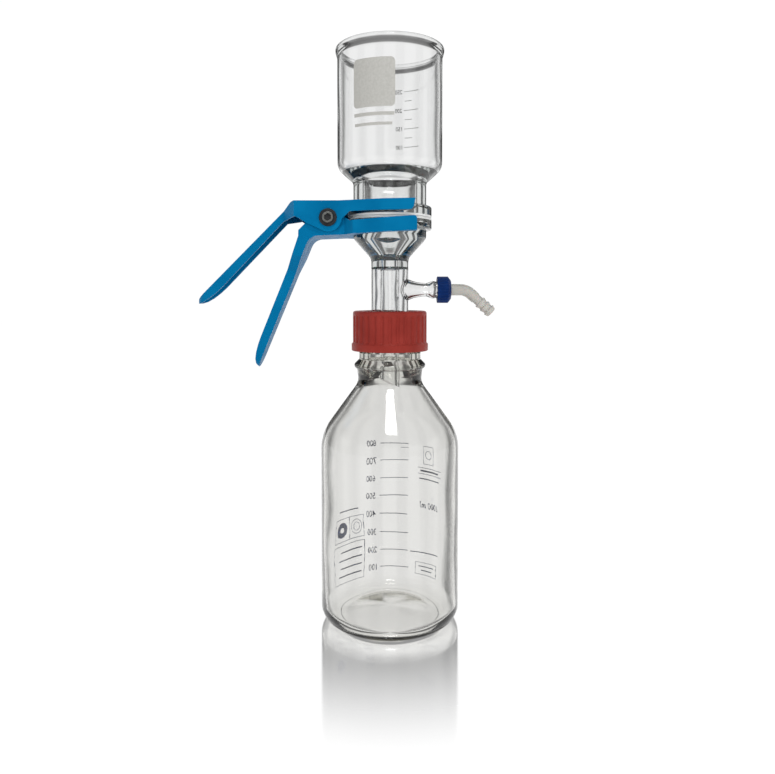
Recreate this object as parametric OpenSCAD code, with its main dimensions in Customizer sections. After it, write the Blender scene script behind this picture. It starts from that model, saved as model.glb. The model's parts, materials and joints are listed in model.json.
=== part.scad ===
// Vacuum filtration head for 47 mm membrane discs, standing on a one litre screw-neck bottle.
// Millimetres, +Z up. The origin is the centre of the bottle's contact ring on the bench.
// +X points along the vacuum side arm, the clamp's handles reach out to -X.

/* [Bottle] */
// Outer diameter of the bottle body
bottle_d = 101; // [96:0.5:102]
// Wall thickness of the bottle body
bottle_wall = 3.1; // [2.4:0.1:3.6]
// Radius of the rounded heel between the wall and the base
heel_r = 11; // [8:0.5:13]
// Height at which the wall starts to turn in to the shoulder
shoulder_z = 126; // [120:0.5:128]
// Height of the bottle's lip
lip_z = 221.5; // [221:0.1:222]
// Diameter of the hole through the bottle's neck
neck_bore = 31; // [30:0.1:32]

/* [Bottle closure] */
// Outside diameter over the bottle's screw thread
bottle_thread_d = 45; // [44.6:0.1:45.1]
// Rise of the bottle's thread in one turn
bottle_pitch = 4; // [3.8:0.1:4.2]
// Diameter of the closure over its flutes
cap_d = 54; // [53:0.5:56]
// Height of the closure
cap_h = 29; // [28.6:0.1:29.2]
// Number of grip flutes round the closure
cap_flutes = 30; // [24:1:36]
// Diameter of the hole in the top of the closure
cap_window = 34; // [32:0.5:35]

/* [Filter base] */
// Height of the ground face that carries the membrane
joint_z = 294; // [293.8:0.1:294.2]
// Diameter of the two ground flanges
flange_d = 60.8; // [60:0.1:61]
// Diameter of the glass just above and below the flanges
head_d = 53; // [52:0.1:53.2]
// Outside diameter of the jacket tube that the closure seals on
jacket_d = 27; // [26:0.1:27.4]
// Outside diameter of the drip tube
drip_d = 13.9; // [12:0.1:14.5]
// Height of the lowest point of the drip tube
drip_tip_z = 173.5; // [165:0.5:178]
// Height of the side arm's axis
arm_z = 242.4; // [242:0.1:243]
// Diameter of the membrane disc
membrane_d = 47; // [46.5:0.1:47.5]
// Diameter of the sintered glass support disc
frit_d = 40; // [38:0.5:41]

/* [Funnel] */
// Outside diameter of the funnel cylinder
funnel_d = 76; // [74:0.5:78]
// Wall thickness of the funnel cylinder
funnel_wall = 2.3; // [1.8:0.1:2.8]
// Height of the top of the funnel's rim
funnel_top = 416; // [400:1:430]
// Diameter of the bore above the membrane
funnel_bore = 38.5; // [36:0.5:40]

/* [Vacuum port] */
// Outside diameter over the side arm's screw thread
port_thread_d = 14; // [13.8:0.1:14.1]
// Rise of the side arm's thread in one turn
port_pitch = 2.5; // [2.4:0.1:2.6]
// Diameter of the port's screw cap
port_cap_d = 19.4; // [18.5:0.1:20]
// Outside diameter of the hose nozzle's tube
nozzle_d = 8.3; // [7.8:0.1:8.4]
// Angle that the hose nozzle bends through
nozzle_bend = 42; // [30:1:60]
// Diameter over the hose barbs
barb_d = 9.2; // [8.8:0.1:9.6]

/* [Clamp] */
// Thickness of the clamp's sheet metal
sheet = 1.8; // [1.5:0.1:1.9]
// Distance of the clamp's pivot from the glass axis
pivot_reach = 43.4; // [43:0.1:44]
// Height of the clamp's pivot
pivot_z = 292.9; // [292.6:0.1:293.2]
// Width of the clamp over its outer ears
ear_w = 44; // [43.6:0.1:44.4]
// Width of each handle
handle_w = 22; // [20:0.5:24]
// Length of each handle from its fold
handle_len = 102; // [90:1:110]
// Slope of the upper handle below horizontal
upper_slope = 45; // [42:0.5:47]
// Slope of the lower handle below horizontal
lower_slope = 67.4; // [65:0.5:70]
// Diameter of the pivot screw's shank
pivot_d = 5; // [4.5:0.1:5.5]

/* [Hidden] */
$fn = 96;

glass = [0.86, 0.91, 0.90, 0.45];
anodised_blue = [0.0, 0.43, 0.66];

// Working clearances: a running fit, and faces of neighbouring bodies
running = 0.05;
gap = 0.05;
// How far the nozzle's straight and bent stretches run into each other
lap = 0.1;
// How much slimmer the bent stretch is, so that the surfaces meet cleanly
step = 0.05;

// Bottle
contact_r = 39.5;
contact_in = 35.5;
push_up = 3.5;
shoulder_r = 35;
shoulder_a = 36.3;
neck_r = 23.3;
bead_r = 26.1;
bead_z = 187.8;
bead_section = 4;
collar_r = 22.6;
collar_z = 196.5;
thread_depth = 1.5;
finish_r = bottle_thread_d / 2 - thread_depth;
lip_round = 1.5;
base_floor = 5;
inner_dome = 3;

// Closure: its ceiling presses the seal down on the lip
washer_h = 0.8;
seal_z = lip_z + gap + washer_h;
ceiling_z = lip_z + 3.6;
cap_top = ceiling_z + 1.9;
cap_bottom = cap_top - cap_h;
skirt_h = 6;
cap_inner_r = bottle_thread_d / 2 + 0.5;
seal_r = bottle_thread_d / 2 - 1;

// Filter base
head_r = head_d / 2;
flange_r = flange_d / 2;
jacket_r = jacket_d / 2;
jacket_in = jacket_r - 2.2;
jacket_bottom = 209;
jacket_top = 262;
drip_r = drip_d / 2;
drip_in = drip_r - 1.5;
flange_h = 9;
frit_h = 3.2;
membrane_h = 0.15;
tip_slant = 30.5;

// Side arm, measured along +X from the glass axis
arm_r = 4.95;
arm_bore = 3.3;
arm_collar_x = 31;
arm_mouth = 40;
port_thread_x = arm_collar_x + 2.9;
port_root = port_thread_d / 2 - 1;
port_seal_h = 1.4;
port_flange_h = 1.5;
port_cap_in = 34.5;
port_cap_out = 44.6;
seal_face = arm_mouth + gap;
flange_face = seal_face + port_seal_h;
cap_face = flange_face + port_flange_h + gap;

// Hose nozzle
bend_r = 12;
bend_x = 51.4;
tail_len = 20.5;
nozzle_bore = 2.3;

// Clamp
fold_x = -69.4;
plate_z = joint_z + membrane_h + 8.85 + sheet;
lower_tilt = 2.3;
lower_tip_z = 283.2;
thrust_h = 0.7;
lower_ear_w = ear_w - 2 * sheet - 2 * thrust_h - 4 * gap;
slot_r = head_d / 2 + 0.5;
ear_r = 9.8;
jaw_x = 17.4;
jaw_w = 73;
waist_w = 67.2;
px = -pivot_reach;
lower_fold_x = -56.5;
lower_fold_z = plate_low(lower_fold_x);
wire_r = 0.8;
coil_r = 6.3;

// Height of the lower plate's underside at x
function plate_low(x) = lower_tip_z - (jaw_x - x) * tan(lower_tilt);

// Points on an arc about (x, z), from angle a to angle b
function arc(x, z, r, a, b, n = 8) =
    [for (i = [0:n]) let (t = a + (b - a) * i / n) [x + r * cos(t), z + r * sin(t)]];

// An (x, z) point turned by a about the origin and moved to p
function placed(p, s, t, along, across) =
    [p[0] + s * along[0] + t * across[0], p[1] + s * along[1] + t * across[1]];

module lathe(points) {
    rotate_extrude()
        polygon(points);
}

// Extrudes an (x, z) outline to width w, centred on the XZ plane
module side(points, w) {
    rotate([90, 0, 0])
        linear_extrude(w, center = true)
            polygon(points);
}

// Extrudes the half outline (x, y) and its mirror image from z0 to z1
module plan(points, z0, z1) {
    n = len(points);
    back = [for (i = [n - 1:-1:0]) [points[i][0], -points[i][1]]];
    translate([0, 0, z0])
        linear_extrude(z1 - z0)
            polygon(concat(points, back));
}

// A cylinder along Y through the clamp's pivot, from y0 to y1
module bar_y(r, y0, y1, sides = 96) {
    translate([px, y1, pivot_z])
        rotate([90, 0, 0])
            cylinder(r = r, h = y1 - y0, $fn = sides);
}

// A helical screw ridge about Z: r_root is sunk in the wall, r_tip is its crest
module ridge(r_wall, r_tip, w_wall, w_tip, pitch, turns, z0) {
    steps = 30;
    n = round(turns * steps);
    fade = 5;
    sink = r_tip > r_wall ? -0.4 : 0.4;
    points = [for (i = [0:n])
        let (a = 360 * i / steps, z = z0 + pitch * i / steps)
        let (k = max(0.05, min(1, i / fade, (n - i) / fade)), r = r_wall + (r_tip - r_wall) * k)
        each [
            [(r_wall + sink) * cos(a), (r_wall + sink) * sin(a), z - w_wall / 2],
            [r * cos(a), r * sin(a), z - w_tip / 2],
            [r * cos(a), r * sin(a), z + w_tip / 2],
            [(r_wall + sink) * cos(a), (r_wall + sink) * sin(a), z + w_wall / 2]
        ]];
    sides = [for (i = [0:n - 1], j = [0:3])
        let (p = 4 * i + j, q = 4 * i + (j + 1) % 4)
        each [[p, p + 4, q + 4], [p, q + 4, q]]];
    ends = [[0, 1, 2], [0, 2, 3], [4 * n, 4 * n + 2, 4 * n + 1], [4 * n, 4 * n + 3, 4 * n + 2]];
    faces = concat(sides, ends);
    turned = [for (f = faces) [f[0], f[2], f[1]]];
    polyhedron(points, r_tip > r_wall ? turned : faces);
}

module bottle() {
    r = bottle_d / 2;
    slope_r = r - shoulder_r + shoulder_r * cos(shoulder_a);
    slope_z = shoulder_z + shoulder_r * sin(shoulder_a);
    root_r = 12;
    root_edge = neck_r + root_r * (1 - cos(shoulder_a));
    root_z = slope_z + (slope_r - root_edge) / tan(shoulder_a) + root_r * sin(shoulder_a);
    in_r = r - bottle_wall;
    in_shoulder = shoulder_r - bottle_wall;
    in_slope_r = r - shoulder_r + in_shoulder * cos(shoulder_a);
    in_slope_z = shoulder_z + in_shoulder * sin(shoulder_a);
    in_root = 20;
    bore = neck_bore / 2;
    in_edge = bore + in_root * (1 - cos(shoulder_a));
    in_root_z = in_slope_z + (in_slope_r - in_edge) / tan(shoulder_a) + in_root * sin(shoulder_a);
    in_heel = heel_r - bottle_wall;
    outside = concat(
        [for (i = [0:5]) let (q = contact_in * i / 5) [q, push_up * (1 - pow(q / contact_in, 2))]],
        [[contact_r, 0]],
        arc(r - heel_r, heel_r, heel_r, -90, 0),
        arc(r - shoulder_r, shoulder_z, shoulder_r, 0, shoulder_a),
        arc(neck_r + root_r, root_z, root_r, 180 + shoulder_a, 180),
        arc(bead_r - bead_section, bead_z, bead_section, -72, 72),
        [[collar_r, bead_z + 3.9], [collar_r, collar_z], [finish_r, collar_z + 1.6]],
        arc(finish_r - lip_round, lip_z - lip_round, lip_round, 0, 90, 5)
    );
    inside = concat(
        arc(bore + lip_round, lip_z - lip_round, lip_round, 90, 180, 5),
        arc(bore + in_root, in_root_z, in_root, 180, 180 + shoulder_a),
        arc(r - shoulder_r, shoulder_z, in_shoulder, shoulder_a, 0),
        arc(r - heel_r, base_floor + in_heel, in_heel, 0, -90),
        [for (i = [4:-1:0]) let (q = i / 5) [(r - heel_r) * q, base_floor + inner_dome * (1 - q * q)]]
    );
    color(glass) {
        lathe(concat(outside, inside));
        ridge(finish_r, bottle_thread_d / 2, 2, 0.9, bottle_pitch, 2.2, collar_z + 5.5);
    }
}

module screw_cap() {
    r = cap_d / 2;
    round_r = 2;
    window = cap_window / 2;
    recess = 0.8;
    flute_r = 2.2;
    flute_end = 4;
    thread_z = collar_z + 5.5 - 0.5 * bottle_pitch;
    shell = concat(
        [[cap_inner_r, ceiling_z], [cap_inner_r, cap_bottom + 1], [cap_inner_r + 1, cap_bottom]],
        [[r + 1, cap_bottom], [r + 1, cap_bottom + skirt_h - 1], [r, cap_bottom + skirt_h]],
        arc(r - round_r, cap_top - round_r, round_r, 0, 90, 6),
        [[window + 4, cap_top], [window + 3.2, cap_top - recess], [window, cap_top - recess]],
        [[window, ceiling_z]]
    );
    color("firebrick") {
        difference() {
            lathe(shell);
            for (i = [0:cap_flutes - 1])
                rotate([0, 0, 360 * i / cap_flutes - 90])
                    translate([r + 1.5, 0, cap_bottom + skirt_h])
                        cylinder(r = flute_r, h = cap_h - skirt_h - flute_end, $fn = 32);
        }
        ridge(cap_inner_r, bottle_thread_d / 2 - 1, 2, 0.9, bottle_pitch, 3.4, thread_z);
    }
}

module stem_seal() {
    hole = jacket_r + running;
    color("lightgray")
        lathe([
            [hole, seal_z], [seal_r, seal_z], [seal_r, ceiling_z - gap],
            [cap_window / 2 - 0.5, ceiling_z - gap], [cap_window / 2 - 0.5, cap_top - 1],
            [cap_window / 2 - 1, cap_top - 0.5], [hole + 0.4, cap_top - 0.5], [hole, cap_top - 0.9]
        ]);
}

module seal_washer() {
    hole = jacket_r + running;
    color("white")
        lathe([[hole, lip_z + gap], [seal_r, lip_z + gap], [seal_r, seal_z], [hole, seal_z]]);
}

// Outline of the whole turned glass: drip tube, jacket tube, cone and support head
function head_outline() =
    let (turn = 42, r1 = 6, r2 = 8, cone = head_r - jacket_r, seal_top = jacket_top - 3)
    let (run = (cone - (r1 + r2) * (1 - cos(turn))) / tan(turn))
    let (z1 = jacket_top + (r1 + r2) * sin(turn) + run, seal_round = (jacket_in - drip_r) / 2)
    concat(
        [[drip_r, drip_tip_z]],
        arc(drip_r + seal_round, seal_top - seal_round, seal_round, 180, 0, 8),
        [[jacket_in, jacket_bottom], [jacket_r, jacket_bottom]],
        arc(jacket_r + r2, jacket_top, r2, 180, 180 - turn, 6),
        arc(head_r - r1, z1, r1, -turn, 0, 5),
        [[head_r, joint_z - flange_h + 0.6], [flange_r - 1.6, joint_z - flange_h + 0.6]],
        [[flange_r, joint_z - flange_h + 2.2], [flange_r, joint_z - 0.6], [flange_r - 0.6, joint_z]],
        [[frit_d / 2 + 0.05, joint_z], [frit_d / 2 + 0.05, joint_z - frit_h]],
        [[frit_d / 2 - 1.5, joint_z - frit_h], [drip_in + 1.4, z1 - 9]],
        arc(drip_in + 3, z1 - 12.5, 3, 140, 180, 4),
        [[drip_in, drip_tip_z]]
    );

// The side arm, drawn about Z: z is the distance from the glass axis
module side_arm() {
    flare_r = 5.5;
    flare_x = jacket_r + flare_r;
    lathe(concat(
        [[0, 6], [arm_r + flare_r, 6]],
        arc(arm_r + flare_r, flare_x, flare_r, -90, -180, 8),
        [[arm_r, arm_collar_x - 4]],
        [[port_root + 0.5, arm_collar_x], [port_root + 0.5, arm_collar_x + 1.2]],
        [[port_root, arm_collar_x + 2], [port_root, arm_mouth - 0.8], [port_root - 0.8, arm_mouth]],
        [[0, arm_mouth]]
    ));
    ridge(port_root, port_thread_d / 2, 1.3, 0.6, port_pitch, 1.8, port_thread_x);
}

// The side arm laid along +X, its root narrowed at the sides to follow the round jacket
module fitted_arm() {
    flare_r = 5.5;
    mid = arm_r + flare_r;
    cx = sqrt(pow(jacket_r + flare_r, 2) - pow(mid, 2));
    low = 180 + atan(mid / cx);
    inside_wall = jacket_in + 1.1;
    difference() {
        intersection() {
            on_arm()
                side_arm();
            plan(concat(
                [[45, 9]], [[cx + 6, 9]], [[cx + 3, arm_r + 0.05]],
                arc(cx, mid, flare_r, 270, low, 6), [[8, 6.5]]
            ), arm_z - 14, arm_z + 14);
        }
        translate([0, 0, arm_z - 20])
            cylinder(r = inside_wall, h = 40);
    }
}

module arm_bore() {
    mouth_r = port_root - 1.25;
    start = drip_r + 1;
    lathe([
        [0, start], [arm_bore, start], [arm_bore, arm_collar_x - 2], [mouth_r, arm_collar_x],
        [mouth_r, arm_mouth + 1], [0, arm_mouth + 1]
    ]);
}

module filter_base() {
    color(glass)
        difference() {
            union() {
                lathe(head_outline());
                fitted_arm();
            }
            on_arm()
                arm_bore();
            translate([drip_r, 0, drip_tip_z])
                rotate([0, tip_slant, 0])
                    translate([-40, -10, -30])
                        cube([50, 20, 30]);
        }
}

module frit_disc() {
    color("whitesmoke")
        translate([0, 0, joint_z - frit_h])
            cylinder(d = frit_d, h = frit_h);
}

module membrane_filter() {
    color("white")
        translate([0, 0, joint_z])
            cylinder(d = membrane_d, h = membrane_h);
}

module funnel() {
    r = funnel_d / 2;
    foot = joint_z + membrane_h;
    back_z = foot + flange_h - 0.6;
    turn = 48;
    r1 = 4;
    r2 = 9;
    run = (r - head_r - (r1 + r2) * (1 - cos(turn))) / tan(turn);
    neck_z = foot + 23.85;
    wall_z = neck_z + (r1 + r2) * sin(turn) + run;
    bead = 2.15;
    rim_z = funnel_top - bead;
    in_r = r - funnel_wall;
    hole = funnel_bore / 2;
    in_r2 = r2 - funnel_wall;
    drop = (in_r - hole - in_r2) / tan(62);
    color(glass)
        lathe(concat(
            [[hole, foot], [flange_r - 0.6, foot], [flange_r, foot + 0.6], [flange_r, back_z - 1.6]],
            [[flange_r - 1.6, back_z], [head_r, back_z]],
            arc(head_r + r1, neck_z, r1, 180, 180 - turn, 5),
            arc(r - r2, wall_z, r2, -turn, 0, 8),
            arc(r - bead + 2, rim_z, bead, -80, 180, 14),
            arc(in_r - in_r2, wall_z + 0.6, in_r2, 0, -62, 8),
            arc(hole + 6, wall_z - 7 - drop, 6, 118, 180, 5)
        ));
}

// Everything on the side arm is drawn about Z and then laid along +X
module on_arm() {
    translate([0, 0, arm_z])
        rotate([0, 90, 0])
            children();
}

module port_seal() {
    color("lightgray")
        on_arm()
            lathe([
                [nozzle_bore + 0.7, seal_face], [port_root + 0.2, seal_face],
                [port_root + 0.2, flange_face - gap], [nozzle_bore + 0.7, flange_face - gap]
            ]);
}

module port_cap() {
    r = port_cap_d / 2;
    bore = port_thread_d / 2 + 0.3;
    hole = nozzle_d / 2 + 0.07;
    grooves = 24;
    color([0.05, 0.13, 0.36])
        on_arm() {
            difference() {
                lathe(concat(
                    [[bore, port_cap_in], [r - 0.4, port_cap_in], [r, port_cap_in + 0.4]],
                    [[r, port_cap_out - 2.6], [r - 3.4, port_cap_out]],
                    [[hole, port_cap_out], [hole, cap_face], [bore, cap_face]]
                ));
                for (i = [0:grooves - 1])
                    rotate([0, 0, 360 * i / grooves])
                        translate([r + 0.55, 0, port_cap_in + 1.5])
                            cylinder(r = 0.9, h = 20, $fn = 24);
            }
            ridge(bore, bore - 1, 1.3, 0.6, port_pitch, 2, port_thread_x + 0.5 * port_pitch);
        }
}

// The bent stretch of a round bar or bore of radius r
module nozzle_elbow(r) {
    translate([bend_x, 0, arm_z - bend_r])
        rotate([90, 0, 0])
            rotate_extrude(angle = nozzle_bend, start = 90 - nozzle_bend)
                translate([bend_r, 0])
                    circle(r = r);
}

module nozzle_tail() {
    translate([bend_x, 0, arm_z - bend_r])
        rotate([0, nozzle_bend, 0])
            translate([0, 0, bend_r])
                rotate([0, 90, 0])
                    children();
}

module hose_nozzle() {
    r = nozzle_d / 2;
    shank = 3.6;
    crest = barb_d / 2;
    pitch = 4.2;
    first = tail_len - 2.6 - 2 * pitch;
    color("gainsboro")
        difference() {
            union() {
                nozzle_elbow(r - step);
                on_arm() {
                    translate([0, 0, flange_face])
                        cylinder(r = r, h = bend_x - flange_face + lap);
                    translate([0, 0, flange_face])
                        cylinder(r = port_root + 0.1, h = port_flange_h);
                }
                nozzle_tail()
                    lathe(concat(
                        [[0, -lap], [r, -lap], [r, 4], [shank, 5.5]],
                        [for (i = [0:2]) let (z = first + i * pitch)
                            each [[shank, z - 1.2], [crest, z - 0.8], [crest, z], [shank + 0.1, z + 2.4]]],
                        [[nozzle_bore + 0.6, tail_len], [0, tail_len]]
                    ));
            }
            on_arm()
                translate([0, 0, flange_face - 1])
                    cylinder(r = nozzle_bore, h = bend_x - flange_face + 1 + lap);
            nozzle_elbow(nozzle_bore + step);
            nozzle_tail()
                translate([0, 0, -lap])
                    cylinder(r = nozzle_bore, h = tail_len + 1);
        }
}

// Depth of a handle's side flange at s along it
function flange_depth(s, start, deep) =
    s < 0.78 * handle_len
        ? start + (deep - start) * s / (0.78 * handle_len)
        : max(0.05, deep * sqrt(max(0, 1 - pow((s / handle_len - 0.78) / 0.22, 2))));

// Half outline in plan of both jaws, from the tip back to the ear
function jaw_plan(tip_x, in) =
    [[tip_x, jaw_w / 2 - in], [-4, waist_w / 2 - in], [px + 7.4, ear_w / 2 - in]];

module neck_slot(z0, z1) {
    translate([0, 0, z0])
        cylinder(r = slot_r, h = z1 - z0);
    translate([0, -slot_r, z0])
        cube([60, 2 * slot_r, z1 - z0]);
}

// Half width of a handle at s along it, with a rounded end; in is the distance inside the edge
function handle_half(s, root_w, in) =
    let (half = handle_w / 2 - 2 * s / handle_len, nose = 9, left = handle_len - in - s)
    s < 12 ? root_w / 2 - in + (half - root_w / 2) * s / 12
        : left > nose ? half - in
        : (half - in) * sqrt(max(0, 1 - pow(1 - left / nose, 2)));

function handle_stations(in) =
    concat([0, 12, 60], [for (i = [0:8]) handle_len - in - 9 * (1 - sin(90 * i / 8))]);

module clamp_upper_arm() {
    down = [-cos(upper_slope), -sin(upper_slope)];
    inward = [sin(upper_slope), -cos(upper_slope)];
    fold = [fold_x, plate_z];
    bend = 6;
    reach = bend * tan(upper_slope / 2);
    tip = placed(fold, handle_len, 0, down, inward);
    hollow_fold = [fold_x + sheet * tan(upper_slope / 2), plate_z - sheet];
    stations = [for (k = [0.98, 0.95, 0.9, 0.84, 0.78, 0.4, 0.14]) k * handle_len];
    ear = concat(
        [[px - 15.9, pivot_z - 3.3]],
        arc(px, pivot_z, ear_r, 236, 355, 12)
    );
    outline = concat(
        [[jaw_x, plate_z]],
        [for (p = arc(fold_x + reach, plate_z - bend, bend, 90, 90 + upper_slope, 5)) p],
        [tip],
        [for (s = stations) placed(fold, s, flange_depth(s, 4.8, 6.5), down, inward)],
        [[px - 23.1, pivot_z + 1]],
        ear,
        [[-28, plate_z - 7.7], [jaw_x - 4.5, plate_z - 7.7]],
        arc(jaw_x - 4.1, plate_z - 4.7, 3, -85, -10, 5)
    );
    hollow = concat(
        [[jaw_x + 5, plate_z - sheet], hollow_fold],
        [placed(hollow_fold, handle_len + 10, 0, down, inward)],
        [placed(hollow_fold, handle_len + 10, 60, down, inward), [jaw_x + 5, plate_z - 60]]
    );
    run = cos(upper_slope);
    function handle_plan(in) =
        [for (s = handle_stations(in)) [fold_x + 2 - s * run, handle_half(s, ear_w, in)]];
    difference() {
        color(anodised_blue)
            difference() {
                intersection() {
                    side(outline, 90);
                    plan(concat(jaw_plan(jaw_x + 1, 0), handle_plan(0)), 180, 320);
                }
                intersection() {
                    side(hollow, 90);
                    plan(concat(jaw_plan(jaw_x + 6, sheet), handle_plan(sheet)), 180, 320);
                }
                neck_slot(plate_z - sheet - 1, plate_z + 1);
            }
        bar_y(pivot_d / 2 + running, -30, 30);
    }
}

module clamp_lower_arm() {
    bend = 9;
    slope = lower_slope - lower_tilt;
    reach = bend * tan(slope / 2);
    c = [lower_fold_x, lower_fold_z];
    along_plate = [cos(lower_tilt), sin(lower_tilt)];
    down = [-cos(lower_slope), -sin(lower_slope)];
    centre = [
        c[0] + reach * along_plate[0] + bend * sin(lower_tilt),
        c[1] + reach * along_plate[1] - bend * cos(lower_tilt)
    ];
    a0 = 90 + lower_tilt;
    a1 = 90 + lower_slope;
    wall_top = 9.9;
    back_x = px - 21.2;
    out = [-sin(lower_slope), cos(lower_slope)];
    half = lower_ear_w / 2;
    joint_s = 16;
    ear = concat(
        arc(px, pivot_z, ear_r - 1.3, 20, 150, 10),
        [[px - 15.8, pivot_z - 3.2], [back_x, pivot_z - 8.6], [back_x - 0.1, c[1]]]
    );
    outline = concat(
        [[jaw_x + 1.1, plate_low(jaw_x + 1.1)]],
        arc(centre[0], centre[1], bend, a0, a1, 6),
        [placed(c, joint_s, 0, down, out), placed(c, joint_s, 6.7, down, out)],
        [ear[len(ear) - 1], ear[len(ear) - 2], ear[len(ear) - 3]],
        [for (i = [10:-1:0]) ear[i]],
        [[-28, plate_low(-28) + 9.3], [jaw_x - 1, plate_low(jaw_x) + wall_top]],
        arc(jaw_x - 0.9, plate_low(jaw_x) + wall_top - 2, 2, 90, 0, 4)
    );
    hollow = concat(
        [[jaw_x + 6, plate_low(jaw_x + 6) + sheet]],
        arc(centre[0], centre[1], bend + sheet, a0, a1, 6),
        [placed(c, 40, sheet, down, out), placed(c, 40, 60, down, out)],
        [[-110, 340], [jaw_x + 6, 340]]
    );
    function ear_plan(in) = [
        [-4, waist_w / 2 - in], [-26, 26.7 - in], [-32, half - in],
        [-90, half - in]
    ];
    stations = [for (k = [0.98, 0.95, 0.9, 0.84, 0.78, 0.4]) k * handle_len];
    grip = concat(
        [[joint_s - 1, 0], [handle_len, 0]],
        [for (s = stations) [s, -flange_depth(s, 6.9, 6.3)]],
        [[joint_s - 1, -6.7]]
    );
    color(anodised_blue)
        difference() {
            union() {
                difference() {
                    intersection() {
                        side(outline, 90);
                        plan(concat([[jaw_x + 2, jaw_w / 2]], ear_plan(0)), 180, 320);
                    }
                    intersection() {
                        side(hollow, 90);
                        plan(concat([[jaw_x + 6, jaw_w / 2 - sheet]], ear_plan(sheet)), 180, 320);
                    }
                }
                translate([c[0], 0, c[1]])
                    rotate([0, 180 - lower_slope, 0])
                        difference() {
                            intersection() {
                                side(grip, 90);
                                plan(lower_grip_plan(0, joint_s), -20, 10);
                            }
                            plan(lower_grip_plan(sheet, joint_s), -20, -sheet);
                        }
            }
            neck_slot(plate_low(-40) - 1, plate_low(jaw_x + 2) + sheet + 1);
            bar_y(pivot_d / 2 + running, -30, 30);
        }
}

// Half outline of the lower handle along its own length
function lower_grip_plan(in, from) =
    let (nose = 9, root = lower_ear_w / 2 - in, half = handle_w / 2 - in, end = handle_len - in)
    concat(
        [[from - 1, root], [from, root], [from + 12, half], [end - nose, half - 1.5]],
        [for (i = [1:8]) [end - nose + nose * sin(90 * i / 8), (half - 1.5) * cos(90 * i / 8)]]
    );

// A torsion spring about the pivot: two legs and a coil in one round wire
module clamp_spring() {
    sides = 8;
    first = 82;
    last = -78 - 1080;
    steps = 84;
    coil_w = 13;
    leg_up = 19;
    leg_down = 17;
    function centre(a, y) = [px + coil_r * cos(a), y, pivot_z + coil_r * sin(a)];
    function heading(a) = [sin(a), 0, -cos(a)];
    function ring(c, a) = [for (j = [0:sides - 1])
        let (t = 360 * j / sides, u = wire_r * cos(t), v = wire_r * sin(t))
        [c[0] + u * cos(a), c[1] + v, c[2] + u * sin(a)]];
    rings = concat(
        [ring(centre(first, -coil_w / 2) - leg_up * heading(first), first)],
        [for (i = [0:steps]) let (a = first + (last - first) * i / steps)
            ring(centre(a, -coil_w / 2 + coil_w * i / steps), a)],
        [ring(centre(last, coil_w / 2) + leg_down * heading(last), last)]
    );
    n = len(rings) - 1;
    sides_faces = [for (i = [0:n - 1], j = [0:sides - 1])
        let (p = sides * i + j, q = sides * i + (j + 1) % sides)
        each [[p, q + sides, p + sides], [p, q, q + sides]]];
    caps = concat(
        [[for (j = [sides - 1:-1:0]) j]],
        [[for (j = [0:sides - 1]) sides * n + j]]
    );
    color("silver")
        polyhedron([for (r = rings) each r], concat(sides_faces, caps));
}

module pivot_screw() {
    front = -ear_w / 2 - 1.3;
    color("dimgray")
        difference() {
            union() {
                bar_y(pivot_d / 2, front, ear_w / 2 + 6.4);
                bar_y(4, front - 2.2, front);
                bar_y(3.7, front - 2.5, front - 2.2);
            }
            bar_y(4 / sqrt(3), front - 3, front - 0.9, 6);
        }
}

module pivot_sleeve() {
    half = lower_ear_w / 2 - sheet - gap;
    color("silver")
        difference() {
            bar_y(4.2, -half, half);
            bar_y(pivot_d / 2 + 0.02, -half - 1, half + 1);
        }
}

module pivot_nut() {
    near = ear_w / 2 + 1.3;
    color("dimgray")
        difference() {
            union() {
                bar_y(8 / sqrt(3), near, near + 4, 6);
                bar_y(3.6, near + 3.9, near + 4.3);
            }
            bar_y(pivot_d / 2, near - 1, near + 6);
        }
}

module washer(r, y0, y1) {
    difference() {
        bar_y(r, y0, y1);
        bar_y(pivot_d / 2 + running, y0 - 1, y1 + 1);
    }
}

module front_washer() {
    color([0.13, 0.13, 0.13])
        washer(6.25, -ear_w / 2 - 1.3, -ear_w / 2 - gap);
}

module back_washer() {
    color([0.13, 0.13, 0.13])
        washer(6.25, ear_w / 2 + gap, ear_w / 2 + 1.3);
}

module thrust_washers() {
    inner = lower_ear_w / 2 + gap;
    color("ivory")
        for (y = [inner, -inner - thrust_h])
            washer(6.5, y, y + thrust_h);
}

bottle();
screw_cap();
stem_seal();
seal_washer();
filter_base();
frit_disc();
membrane_filter();
funnel();
port_seal();
port_cap();
hose_nozzle();
clamp_upper_arm();
clamp_lower_arm();
clamp_spring();
pivot_screw();
pivot_sleeve();
pivot_nut();
front_washer();
back_washer();
thrust_washers();
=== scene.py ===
import json
import math

import bmesh
import bpy
from mathutils import Matrix, Vector, noise

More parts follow.
